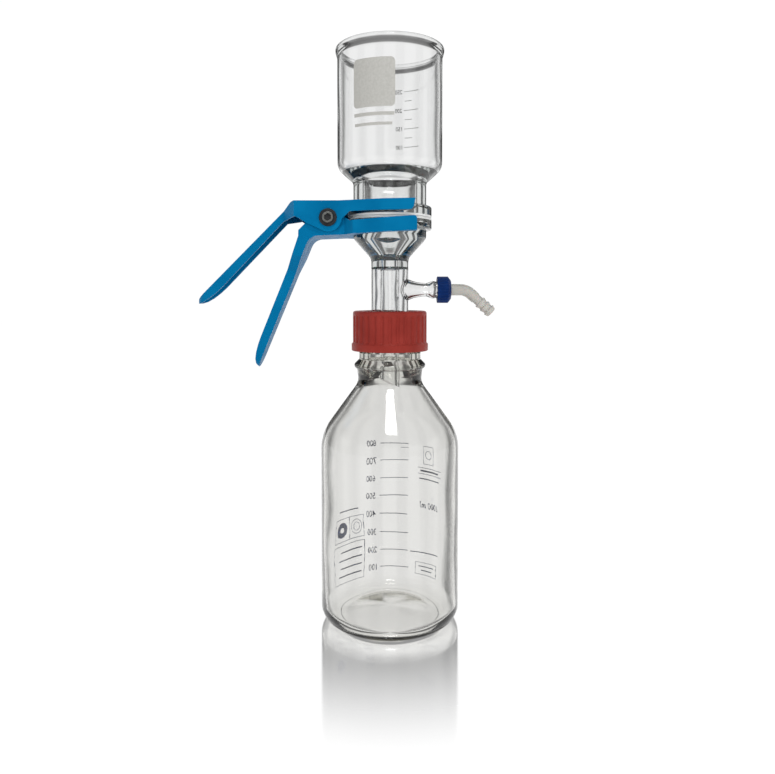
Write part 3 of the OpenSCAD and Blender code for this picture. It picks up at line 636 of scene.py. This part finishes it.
def base_shape(i, r, z, a):
    """The slight unevenness of the drip tube's bore and of the jacket's inside."""
    if i >= base_inner and z < z1 - 13:
        p = Vector((math.cos(a) * 1.2 + 2, math.sin(a) * 1.2, z * 0.045))
        return r + noise.noise(p) * 0.22 * ease((z - TIP - 2) / 8), z
    if JIN - 0.2 < r < JIN + 0.2 and JB + 4 < z < JT - 8:
        p = Vector((math.cos(a) * 1.2 + 4, math.sin(a) * 1.2, z * 0.07))
        return r + noise.noise(p) * 0.35 * ease((z - JB - 4) / 8) * ease((JT - 8 - z) / 6), z
    return r, z


head_rows = dense(head_rows, JB, JT - 6, 2.0)
base_inner = max(i for i, (r, z) in enumerate(head_rows) if z > JOINT - 1) + 1
head = turned("filter_base_glass", head_rows, blown_glass, 192, base_shape)
ARM_R, ARM_BORE, FLARE_END, FLARE = 4.95, 3.3, 27.0, 16.0
PORT_R, PORT_START, PORT_END, PORT_PITCH, PORT_DEPTH, PORT_FOOT, PORT_TIP = 6.0, 33.0, 39.2, 2.5, 1.0, 1.3, 0.6


def flare(radius, grow, start):
    """Rows of the trumpet in which the side arm meets the jacket."""
    xs = [start + (FLARE_END - start) * k / 28 for k in range(29)]
    return [(radius + grow * ((FLARE_END - x) / FLARE) ** 2.2, x) for x in xs]


arm_rows = ([(0.0, 9.0)] + flare(ARM_R, 4.0, 9.0)
            + [(6.5, 31.0), (6.5, 32.2), (PORT_R, PORT_START)]
            + [(PORT_R, PORT_START + 0.3 * k) for k in range(1, 21)]
            + [(PORT_R, PORT_END), (5.2, 40.0), (0.0, 40.0)])


def arm_shape(i, r, z, a):
    """The screw thread at the side arm's end."""
    if PORT_START <= z <= PORT_END and abs(r - PORT_R) < 0.1:
        return r + PORT_DEPTH * thread_height(z, a, 33.9, PORT_PITCH, 1.8, PORT_FOOT, PORT_TIP), z
    return r, z


arm = lay(turned("arm_solid", arm_rows, blown_glass, 96, arm_shape, closed=False), along_x(ARM_Z))
mid_wall = (JIN + JR) / 2
core = turned("arm_core", [(0, 200.0), (mid_wall, 200.0), (mid_wall, 285.0), (0, 285.0)],
              blown_glass, 96, closed=False)
bore_rows = [(0, 8.4)] + flare(ARM_BORE, 2.6, 8.4) + [(ARM_BORE, 29.0), (4.75, 31.0), (4.75, 41.0), (0, 41.0)]
bore = lay(turned("arm_hole", bore_rows, blown_glass, 64, closed=False), along_x(ARM_Z))
cutter = turned("tip_cut", [(0, -20.0), (30.0, -20.0), (30.0, 0.0), (0, 0.0)], blown_glass, 32, closed=False)
lay(cutter, Matrix.Translation((DR, 0, TIP)) @ Matrix.Rotation(rad(TIP_CUT), 4, "Y") @ Matrix.Translation((-15, 0, 0)))


def carve(target, tool, operation):
    """Joins the tool to the target or cuts it away, and removes the tool."""
    m = target.modifiers.new("cut", "BOOLEAN")
    m.operation = operation
    m.solver = "EXACT"
    m.object = tool
    dg = bpy.context.evaluated_depsgraph_get()
    me = bpy.data.meshes.new_from_object(target.evaluated_get(dg))
    target.modifiers.clear()
    old = target.data
    target.data = me
    bpy.data.meshes.remove(old)
    bpy.data.objects.remove(tool)


carve(arm, core, "DIFFERENCE")
carve(head, arm, "UNION")
carve(head, bore, "DIFFERENCE")
carve(head, cutter, "DIFFERENCE")
bm = bmesh.new()
bm.from_mesh(head.data)
bmesh.ops.remove_doubles(bm, verts=bm.verts, dist=0.00001)
bmesh.ops.dissolve_degenerate(bm, dist=0.00001, edges=bm.edges)
bm.to_mesh(head.data)
bm.free()
head.data.polygons.foreach_set("use_smooth", [True] * len(head.data.polygons))
head.data.set_sharp_from_angle(angle=rad(38))
while len(head.data.materials) > 1:
    head.data.materials.pop()
head.data.materials.append(ground_glass)
frost(head, JOINT)
place(head, "filter_base", ["filter_base"])

lo, hi = mm_box("frit_disc")
frit_rows = [(0, lo.z), (hi.x - 0.3, lo.z)] + arc(hi.x - 0.3, hi.z - 0.3, 0.3, 0, 90, 4) + [(0, hi.z)]
frit = turned("frit_disc_part", frit_rows, frit_white, 128, closed=False)
place(frit, "frit_disc", ["frit_disc"])
lo, hi = mm_box("membrane_filter")
disc = turned("membrane_disc", [(0, lo.z), (hi.x, lo.z), (hi.x, hi.z), (0, hi.z)], paper, 128, closed=False)
place(disc, "membrane_filter", ["membrane_filter"])


# ---------------------------------------------------------------- bottle closure

lo, hi = mm_box("screw_cap")
CB, CT, CR = lo.z, hi.z, hi.x - 1.0
CEIL, WIN, CIN = CT - 1.9, 17.0, 23.0
FLUTES, FLUTE_R, FLUTE_OUT = 30, 2.2, 1.5
FL0, FL1 = CB + 6.0, CT - 3.6
cap_rows = (arc(CIN + 1.0, CB + 0.4, 0.4, 225, 270, 3) + arc(CR + 1 - 0.7, CB + 0.7, 0.7, 270, 360, 6)
            + arc(CR + 1 - 0.5, CB + 5.0 - 0.2, 0.5, 0, 45, 3) + [(CR, CB + 6.0)]
            + [(CR, FL0 + 0.35 * k) for k in range(1, int((FL1 + 1.5 - FL0) / 0.35))]
            + arc(CR - 1.8, CT - 1.8, 1.8, 0, 90, 12)
            + arc(WIN + 4, CT - 0.25, 0.25, 90, 150, 3) + arc(WIN + 3.2, CT - 0.55, 0.25, 300, 270, 3)
            + arc(WIN + 0.3, CT - 1.1, 0.3, 90, 180, 4) + arc(WIN + 0.2, CEIL + 0.2, 0.2, 180, 270, 3)
            + [(CIN, CEIL)] + [(CIN, CEIL - 0.5 * k) for k in range(1, 49)] + [(CIN, CB + 1.0)])
cap_inner = next(i for i, (r, z) in enumerate(cap_rows) if abs(r - CIN) < 1e-6 and abs(z - CEIL) < 1e-6)


def flute_depth(a, count, out, fr, r, start=-90.0):
    """How far a round flute cuts into radius r at angle a."""
    step = TAU / count
    t = (a - rad(start)) / step
    t = (t - round(t)) * step
    c = (r + out) * math.cos(t)
    under = fr * fr - ((r + out) * math.sin(t)) ** 2
    return max(0.0, r - (c - math.sqrt(under))) if under > 0 else 0.0


def cap_shape(i, r, z, a):
    """Screw thread inside, grip flutes outside."""
    if i > cap_inner:
        return r - thread_height(z, a, COLLAR_Z + 3.5, SCREW_PITCH, 3.4, SCREW_FOOT, SCREW_TIP), z
    if r > CR - 2.0 and z > FL0 - 0.1:
        depth = flute_depth(a, FLUTES, FLUTE_OUT, FLUTE_R, CR)
        ends = ease((z - FL0) / 1.0) * ease((FL1 + 1.0 - z) / 1.6)
        return r - depth * 1.25 * ends, z
    return r, z


cap = turned("screw_cap_part", cap_rows, cap_red, FLUTES * 24, cap_shape, sharp=50)
place(cap, "screw_cap", ["screw_cap"])
lo, hi = mm_box("stem_seal")
SH = JR + 0.05
seal_rows = ([(SH, lo.z), (hi.x - 0.2, lo.z)] + arc(hi.x - 0.3, CEIL - 0.35, 0.3, 0, 90, 3)
             + [(WIN - 0.5, CEIL - 0.05)] + arc(WIN - 1.0, hi.z - 0.5, 0.5, 0, 90, 5)
             + arc(SH + 0.4, hi.z - 0.4, 0.4, 90, 180, 4))
seal = turned("stem_seal_part", seal_rows, silicone, 160)
place(seal, "stem_seal", ["stem_seal"])
lo, hi = mm_box("seal_washer")
washer = turned("seal_washer_part", ring_rows(SH, hi.x, lo.z, hi.z, 0.15), ptfe, 160)
place(washer, "seal_washer", ["seal_washer"])


# ---------------------------------------------------------------- vacuum port

lo, hi = mm_box("port_seal")
ps = turned("port_seal_part", ring_rows(3.0, 6.2, lo.x, hi.x, 0.15), silicone, 96)
place(lay(ps, along_x(ARM_Z)), "port_seal", ["port_seal"])

lo, hi = mm_box("port_cap")
PB, PT, PR, PHOLE, PBORE, PFACE, PORT_FLUTES = lo.x, hi.x, hi.y, 4.22, 7.3, 43.0, 24
port_rows = ([(PBORE, PFACE)] + [(PBORE, PFACE - 0.35 * k) for k in range(1, 24)]
             + arc(PBORE + 0.3, PB + 0.3, 0.3, 180, 270, 3) + arc(PR - 0.4, PB + 0.4, 0.4, 270, 360, 5)
             + [(PR, PB + 0.4 + 0.3 * k) for k in range(1, 22)]
             + arc(PR - 0.6, PT - 2.5, 0.6, 0, 52, 5) + arc(PR - 3.1, PT - 0.5, 0.5, 52, 90, 4)
             + arc(PHOLE + 0.2, PT - 0.2, 0.2, 90, 180, 3) + [(PHOLE, PFACE)])
port_skin = next(i for i, (r, z) in enumerate(port_rows) if abs(z - PB) < 1e-6)


def port_shape(i, r, z, a):
    """Screw thread inside, grip flutes outside."""
    if i < port_skin:
        if z < PFACE - 0.1:
            return r - PORT_DEPTH * thread_height(z, a, 35.15, PORT_PITCH, 2.0, PORT_FOOT, PORT_TIP), z
        return r, z
    if r > PR - 0.7 and z > PB + 0.5:
        depth = flute_depth(a, PORT_FLUTES, 0.55, 0.9, PR, 0.0)
        return r - depth * ease((z - PB - 1.2) / 0.8), z
    return r, z


pc = turned("port_cap_part", port_rows, cap_blue, PORT_FLUTES * 16, port_shape, sharp=45)
place(lay(pc, along_x(ARM_Z)), "port_cap", ["port_cap"])

# Hose nozzle: rings of (distance along the centre line, radius)
BEND_X, BEND_R, BEND, TAIL, NB = 51.4, 12.0, 42.0, 20.5, 2.3
NR, CREST, SHANK, BARB_PITCH = 4.15, 4.6, 3.6, 4.2
x_face = mm_box("hose_nozzle")[0].x
straight = BEND_X - x_face
curved = rad(BEND) * BEND_R


def nozzle_point(s):
    """Centre and direction at s along the nozzle."""
    if s <= straight:
        return Vector((x_face + s, 0, ARM_Z)), Vector((1, 0, 0))
    a = min(s - straight, curved) / BEND_R
    d = Vector((math.cos(a), 0, -math.sin(a)))
    c = Vector((BEND_X + BEND_R * math.sin(a), 0, ARM_Z - BEND_R + BEND_R * math.cos(a)))
    return c + d * max(0.0, s - straight - curved), d


tail0 = straight + curved
first = TAIL - 2.6 - 2 * BARB_PITCH
barbs = []
for k in range(3):
    z = first + k * BARB_PITCH
    barbs += [(z - 1.2, SHANK), (z - 0.95, SHANK + 0.35), (z - 0.72, CREST - 0.12), (z - 0.5, CREST),
              (z - 0.1, CREST), (z + 0.2, CREST - 0.1), (z + 2.4, SHANK + 0.1)]
tail = ([(2.0, NR), (4.0, NR), (4.4, NR - 0.06), (5.2, SHANK + 0.05), (5.6, SHANK)] + barbs
        + [(TAIL - 0.25, NB + 0.75), (TAIL, NB + 0.55), (TAIL, NB + 0.2), (TAIL - 0.2, NB)])
stations = ([(0.0, 2.5), (0.0, 5.9), (0.2, 6.1), (1.3, 6.1), (1.5, 5.9)]
            + [(1.5, NR + 0.4), (1.7, NR + 0.1), (2.1, NR)]
            + [(2.1 + (straight - 2.1) * k / 6, NR) for k in range(1, 7)]
            + [(straight + curved * k / 24, NR) for k in range(1, 25)]
            + [(tail0 + s, r) for s, r in tail])
stations += [(tail0 + TAIL - 2 - (TAIL - 2) * k / 8, NB) for k in range(0, 9)]
stations += [(straight + curved * (1 - k / 16), NB) for k in range(1, 17)]
stations += [(straight * (1 - k / 4), NB) for k in range(1, 4)] + [(0.2, NB)]
verts, faces, SEG = [], [], 72
for s, r in stations:
    c, d = nozzle_point(s)
    up = Vector((-d.z, 0, d.x))
    for j in range(SEG):
        t = TAU * j / SEG
        verts.append(c + up * (r * math.cos(t)) + Vector((0, 1, 0)) * (r * math.sin(t)))
for i in range(len(stations)):
    k = (i + 1) % len(stations)
    for j in range(SEG):
        q = (j + 1) % SEG
        faces.append((i * SEG + j, i * SEG + q, k * SEG + q, k * SEG + j))
nozzle = finish_mesh("hose_nozzle_part", verts, faces, nozzle_pp, 42)
place(nozzle, "hose_nozzle", ["hose_nozzle"])


# ---------------------------------------------------------------- clamp

def softened(node_name):
    """A clean copy of a clamp arm from the CAD with rounded edges, standing for it."""
    name, corner = node_name + "_part", rad(28)
    bm = bmesh.new()
    bm.from_mesh(frame["nodes"][node_name].data)
    bmesh.ops.remove_doubles(bm, verts=bm.verts, dist=0.000002)
    bmesh.ops.dissolve_limit(bm, angle_limit=rad(0.6), verts=bm.verts, edges=bm.edges)
    me = bpy.data.meshes.new(name)
    bm.to_mesh(me)
    bm.free()
    me.polygons.foreach_set("use_smooth", [True] * len(me.polygons))
    me.set_sharp_from_angle(angle=corner)
    me.materials.append(anodised)
    o = bpy.data.objects.new(name, me)
    scene.collection.objects.link(o)
    m = o.modifiers.new("soften", "BEVEL")
    m.width = 0.35 * MM
    m.segments = 3
    m.limit_method = "ANGLE"
    m.angle_limit = corner
    m.use_clamp_overlap = True
    m.harden_normals = False
    o.modifiers.new("shade", "WEIGHTED_NORMAL").keep_sharp = True
    place(o, node_name, [node_name])


softened("clamp_upper_arm")
softened("clamp_lower_arm")

s_lo, s_hi = mm_box("pivot_sleeve")
PX, PZ = (s_lo.x + s_hi.x) / 2, (s_lo.z + s_hi.z) / 2
at_pivot = along_y(PX, PZ)
sleeve = turned("pivot_sleeve_part", ring_rows(2.55, 4.2, s_lo.y, s_hi.y, 0.25), spring_wire, 96)
place(lay(sleeve, at_pivot), "pivot_sleeve", ["pivot_sleeve"])
for side in ("front_washer", "back_washer"):
    lo, hi = mm_box(side)
    w = turned(side + "_part", ring_rows(2.6, (hi.x - lo.x) / 2, lo.y, hi.y, 0.3, 5), black_oxide_and_painted_shade, 128)
    place(lay(w, at_pivot), side, [side])
lo, hi = mm_box("thrust_washers")
for k, (y0, y1) in enumerate(((lo.y, lo.y + 0.7), (hi.y - 0.7, hi.y))):
    w = turned(f"thrust_washer_{k + 1}", ring_rows(4.3, (hi.x - lo.x) / 2, y0, y1, 0.15), nylon, 128)
    place(lay(w, at_pivot), "thrust_washers", ["thrust_washers"])


def hexagon(af, a, start=30.0):
    """Radius at angle a of a hexagon that is af across its flats."""
    step = rad(60)
    t = (a - rad(start)) % step
    return af / 2 / math.cos(t - step / 2)


# The screw's axis runs along +Y; its head is at the front, at the lowest y
s_lo, s_hi = mm_box("pivot_screw")
y_head, y_end = s_lo.y, s_hi.y
y_seat = mm_box("front_washer")[0].y
SOCKET = 4.3
screw_rows = ([(0.0, y_head + 1.6), (2.2, y_head + 1.6), (2.2, y_head + 0.35), (2.55, y_head)]
              + [(3.2, y_head)] + arc(3.2, y_head + 0.8, 0.8, -90, 0, 8)
              + [(4.0, y_seat - 0.2), (3.8, y_seat), (2.5, y_seat)]
              + [(2.5, y_end - 5.0 + 0.2 * k) for k in range(22)]
              + [(2.5, y_end - 0.6), (1.9, y_end), (0.0, y_end)])


def screw_shape(i, r, z, a):
    """Hexagon socket in the head, thread at the far end."""
    if i in (1, 2):
        return hexagon(SOCKET, a), z
    if i == 3:
        return max(2.55, hexagon(SOCKET, a) + 0.1), z
    if r == 2.5 and z > y_end - 4.8:
        t = (z / 0.8 - a / TAU) % 1.0
        return r - 0.28 * (1 - abs(2 * t - 1)), z
    return r, z


screw = turned("pivot_screw_part", screw_rows, screw_steel, 96, screw_shape, closed=False, sharp=35)
# The socket's walls and floor take the darker black oxide material as painted shade in the recess; the head itself is
# screw steel.
screw.data.materials.append(black_oxide_and_painted_shade)
for p in screw.data.polygons:
    spots = [screw.data.vertices[i].co / MM for i in p.vertices]
    p.material_index = int(all(v.xy.length < 2.75 and y_head + 0.1 < v.z < y_head + 1.7 for v in spots))
place(lay(screw, at_pivot), "pivot_screw", ["pivot_screw"])
lo, hi = mm_box("pivot_nut")
AF, NUT_BORE = hi.z - lo.z, 2.9
chamfer = [(2.55, 0.3), (NUT_BORE, 0.0), (AF / 2 - 0.1, 0.0), (AF / 2 + 0.3, 0.25), (AF / 2 + 0.7, 0.5), (AF, 0.8)]
nut_rows = [(r, lo.y + d) for r, d in chamfer] + [(r, hi.y - d) for r, d in reversed(chamfer)]


def nut_shape(i, r, z, a):
    """Cuts the flats."""
    return (min(r, hexagon(AF, a, 0.0)) if r > NUT_BORE else r), z


nut = turned("pivot_nut_part", nut_rows, black_oxide_and_painted_shade, 96, nut_shape, sharp=25)
place(lay(nut, at_pivot), "pivot_nut", ["pivot_nut"])

# Torsion spring: the coil stays on the pivot, and each leg goes with the arm it presses
COIL_R, WIRE, COIL_W, FIRST, LAST = 6.3, 0.8, 13.0, 82.0, -78.0 - 1080.0


def wire(name, points, body, sides=14):
    """A round wire through the points, with rounded ends."""
    verts, faces, rings, n = [], [], [], len(points)
    tip = [(0.0, WIRE), (0.35, 0.95 * WIRE), (0.6, 0.7 * WIRE)]
    for i, p in enumerate(points):
        d = (points[min(i + 1, n - 1)] - points[max(i - 1, 0)]).normalized()
        u = Vector((0, 1, 0))
        u = (u - d * u.dot(d)).normalized()
        v = d.cross(u)
        radii = [(0.0, WIRE)]
        if i == 0:
            radii = [(-s, r) for s, r in reversed(tip)]
        elif i == n - 1:
            radii = tip
        for s, r in radii:
            rings.append([p + d * s + u * (r * math.cos(TAU * j / sides)) + v * (r * math.sin(TAU * j / sides))
                          for j in range(sides)])
    for ring in rings:
        verts += ring
    for i in range(len(rings) - 1):
        for j in range(sides):
            q = (j + 1) % sides
            faces.append((i * sides + j, i * sides + q, (i + 1) * sides + q, (i + 1) * sides + j))
    faces.append(tuple(range(sides - 1, -1, -1)))
    faces.append(tuple((len(rings) - 1) * sides + j for j in range(sides)))
    o = finish_mesh(name, verts, faces, spring_wire, 60)
    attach(o, body)
    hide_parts("clamp_spring")


def coil_point(a):
    """A point of the coil's centre line; the coil moves along Y as the angle goes on."""
    y = -COIL_W / 2 + COIL_W * (a - FIRST) / (LAST - FIRST)
    return Vector((PX + COIL_R * math.cos(rad(a)), y, PZ + COIL_R * math.sin(rad(a))))


def heading(a):
    """The direction in which the coil runs on at angle a."""
    return Vector((math.sin(rad(a)), 0, -math.cos(rad(a))))


LAP = 20.0
coil = [coil_point(FIRST + (LAST - FIRST) * k / 230) for k in range(231)]
wire("spring_coil", coil, body_of("clamp_spring"))
up_leg = [coil_point(FIRST) - heading(FIRST) * (19.0 * (1 - k / 10)) for k in range(10)]
up_leg += [coil_point(FIRST - LAP * k / 6) for k in range(7)]
wire("spring_upper_leg", up_leg, body_of("clamp_upper_arm"))
down_leg = [coil_point(LAST + LAP * (1 - k / 6)) for k in range(7)]
down_leg += [coil_point(LAST) + heading(LAST) * (17.0 * k / 10) for k in range(1, 11)]
wire("spring_lower_leg", down_leg, body_of("clamp_lower_arm"))


# ---------------------------------------------------------------- studio

CARDS = 8
CARD_STOPS = ((0.0, 0.16), (0.15, 0.16), (0.28, 1.0), (0.72, 1.0), (0.85, 0.16), (1.0, 0.16))
CEILING_STOPS = ((0.0, 1.0), (0.33, 1.0), (0.43, 0.24), (0.56, 0.06), (1.0, 0.05))
PLAIN, THROUGH_GLASS, OFF_GLASS_LOSS = 1.02, 0.90, 0.4


def studio_light(tree, direction):
    """Strength of the white surroundings: plain where the camera and the floor see them, and with
    upright dark cards and a dark ceiling for the rays that pass through or off the pieces."""
    nodes, links = tree.nodes, tree.links

    def calc(op, a, b=0.0):
        n = nodes.new("ShaderNodeMath")
        n.operation = op
        for socket, v in zip(n.inputs, (a, b)):
            if isinstance(v, (int, float)):
                socket.default_value = v
            else:
                links.new(v, socket)
        return n.outputs[0]

    def ramp(value, stops):
        n = nodes.new("ShaderNodeValToRGB")
        n.color_ramp.interpolation = "EASE"
        while len(n.color_ramp.elements) < len(stops):
            n.color_ramp.elements.new(0.5)
        for e, (pos, grey) in zip(n.color_ramp.elements, stops):
            e.position = pos
            e.color = (grey, grey, grey, 1)
        links.new(value, n.inputs["Fac"])
        return n.outputs["Color"]

    xyz = nodes.new("ShaderNodeSeparateXYZ")
    links.new(direction, xyz.inputs[0])
    azimuth = calc("ARCTAN2", xyz.outputs["X"], xyz.outputs["Y"])
    phase = calc("FRACT", calc("ADD", calc("MULTIPLY", azimuth, CARDS / TAU), CARDS + 0.5))
    ceiling = ramp(calc("MAXIMUM", xyz.outputs["Z"], 0.0), CEILING_STOPS)
    light = calc("MULTIPLY", ramp(phase, CARD_STOPS), ceiling)
    path = nodes.new("ShaderNodeLightPath")
    sharp = path.outputs["Is Singular Ray"]
    glossy = calc("MULTIPLY", path.outputs["Is Glossy Ray"], path.outputs["Is Reflection Ray"])
    off_glass = calc("MULTIPLY", glossy, sharp)
    off_floor = calc("MULTIPLY", glossy, calc("SUBTRACT", 1.0, sharp))
    light = calc("MULTIPLY", light, calc("SUBTRACT", THROUGH_GLASS, calc("MULTIPLY", off_glass, OFF_GLASS_LOSS)))
    seen = calc("MAXIMUM", path.outputs["Is Camera Ray"], off_floor)
    return calc("MAXIMUM", light, calc("MULTIPLY", seen, PLAIN))


# A white floor that mirrors the bottle near its foot; the mirror fades out from MIRROR_IN to MIRROR_OUT
MIRROR, MIRROR_IN, MIRROR_OUT, FLOOR_R, FLOOR_DROP = 0.72, 45.0, 185.0, 6000.0, 0.05
floor_mat = principled("white_floor", (0.12, 0.12, 0.12), 0.8, Specular_IOR_Level=0.0,
                       Emission_Color=(1, 1, 1, 1), Emission_Strength=1.0)
nodes, links = floor_mat.node_tree.nodes, floor_mat.node_tree.links
gloss = node(floor_mat, "ShaderNodeBsdfGlossy", Color=(1, 1, 1, 1), Roughness=0.1)
mix = nodes.new("ShaderNodeMixShader")
where = nodes.new("ShaderNodeTexCoord")
length = nodes.new("ShaderNodeVectorMath")
length.operation = "LENGTH"
fade = node(floor_mat, "ShaderNodeMapRange", **{"From Min": MIRROR_IN * MM, "From Max": MIRROR_OUT * MM,
                                                "To Min": MIRROR, "To Max": 0.0})
fade.interpolation_type = "SMOOTHSTEP"
links.new(where.outputs["Object"], length.inputs[0])
links.new(length.outputs["Value"], fade.inputs["Value"])
links.new(fade.outputs["Result"], mix.inputs["Fac"])
links.new(nodes["Principled BSDF"].outputs["BSDF"], mix.inputs[1])
links.new(gloss.outputs["BSDF"], mix.inputs[2])
links.new(mix.outputs["Shader"], nodes["Material Output"].inputs["Surface"])
me = bpy.data.meshes.new("floor")
ring = [(x * MM, y * MM, -FLOOR_DROP * MM) for x, y in arc(0, 0, FLOOR_R, 0, 360, 64)[:-1]]
me.from_pydata(ring, [], [tuple(range(64))])
me.materials.append(floor_mat)
floor = bpy.data.objects.new("floor", me)
floor.visible_transmission = False
scene.collection.objects.link(floor)

world = bpy.data.worlds.new("studio")
scene.world = world
world.use_nodes = True
sky = world.node_tree.nodes["Background"]
sky.inputs["Color"].default_value = (1, 1, 1, 1)
outward = world.node_tree.nodes.new("ShaderNodeTexCoord").outputs["Generated"]
world.node_tree.links.new(studio_light(world.node_tree, outward), sky.inputs["Strength"])


def softbox(name, azimuth, elevation, distance, width, tall, power):
    """An area light aimed at the object; azimuth 0 is the camera's side, positive to the right."""
    light = bpy.data.lights.new(name, "AREA")
    light.shape = "RECTANGLE"
    light.size, light.size_y, light.energy = width, tall, power
    o = bpy.data.objects.new(name, light)
    a, e = rad(azimuth), rad(elevation)
    back = Vector((math.sin(a) * math.cos(e), -math.cos(a) * math.cos(e), math.sin(e)))
    o.location = Vector((0, 0, 0.2)) + back * distance
    o.rotation_euler = (-back).to_track_quat("-Z", "Y").to_euler()
    o.visible_camera = False
    scene.collection.objects.link(o)
    return o


softbox("window", 2, 58, 1.3, 0.36, 0.30, 4.5)
soft = [softbox("key", -12, 16, 1.7, 0.9, 0.8, 6.0), softbox("fill", 40, 10, 1.7, 0.9, 0.8, 5.0),
        softbox("rear", 180, 16, 1.7, 0.9, 0.8, 5.0)]
for light in soft:
    light.visible_glossy = light.visible_transmission = False

cam = bpy.data.cameras.new("camera")
camera = bpy.data.objects.new("camera", cam)
scene.collection.objects.link(camera)
scene.camera = camera
# Fitted to the photo's ellipses: focal length in photo pixels, pitch in degrees
FOCAL, PITCH_DOWN, PHOTO_W = 734.0, 2.43, 775
camera.location = Vector((-1.7, -538.6, 239.4)) * MM
camera.rotation_euler = (rad(90 - PITCH_DOWN), 0, 0)
cam.sensor_width = 36.0
cam.lens = FOCAL / PHOTO_W * cam.sensor_width
cam.shift_y = -0.08
cam.clip_start, cam.clip_end = 0.01, 50
cam.dof.use_dof = False

scene.view_settings.view_transform = "Standard"
scene.view_settings.look = "None"
scene.cycles.max_bounces = 24
scene.cycles.transmission_bounces = 20
scene.cycles.glossy_bounces = 6
scene.cycles.volume_bounces = 0
scene.cycles.transparent_max_bounces = 16
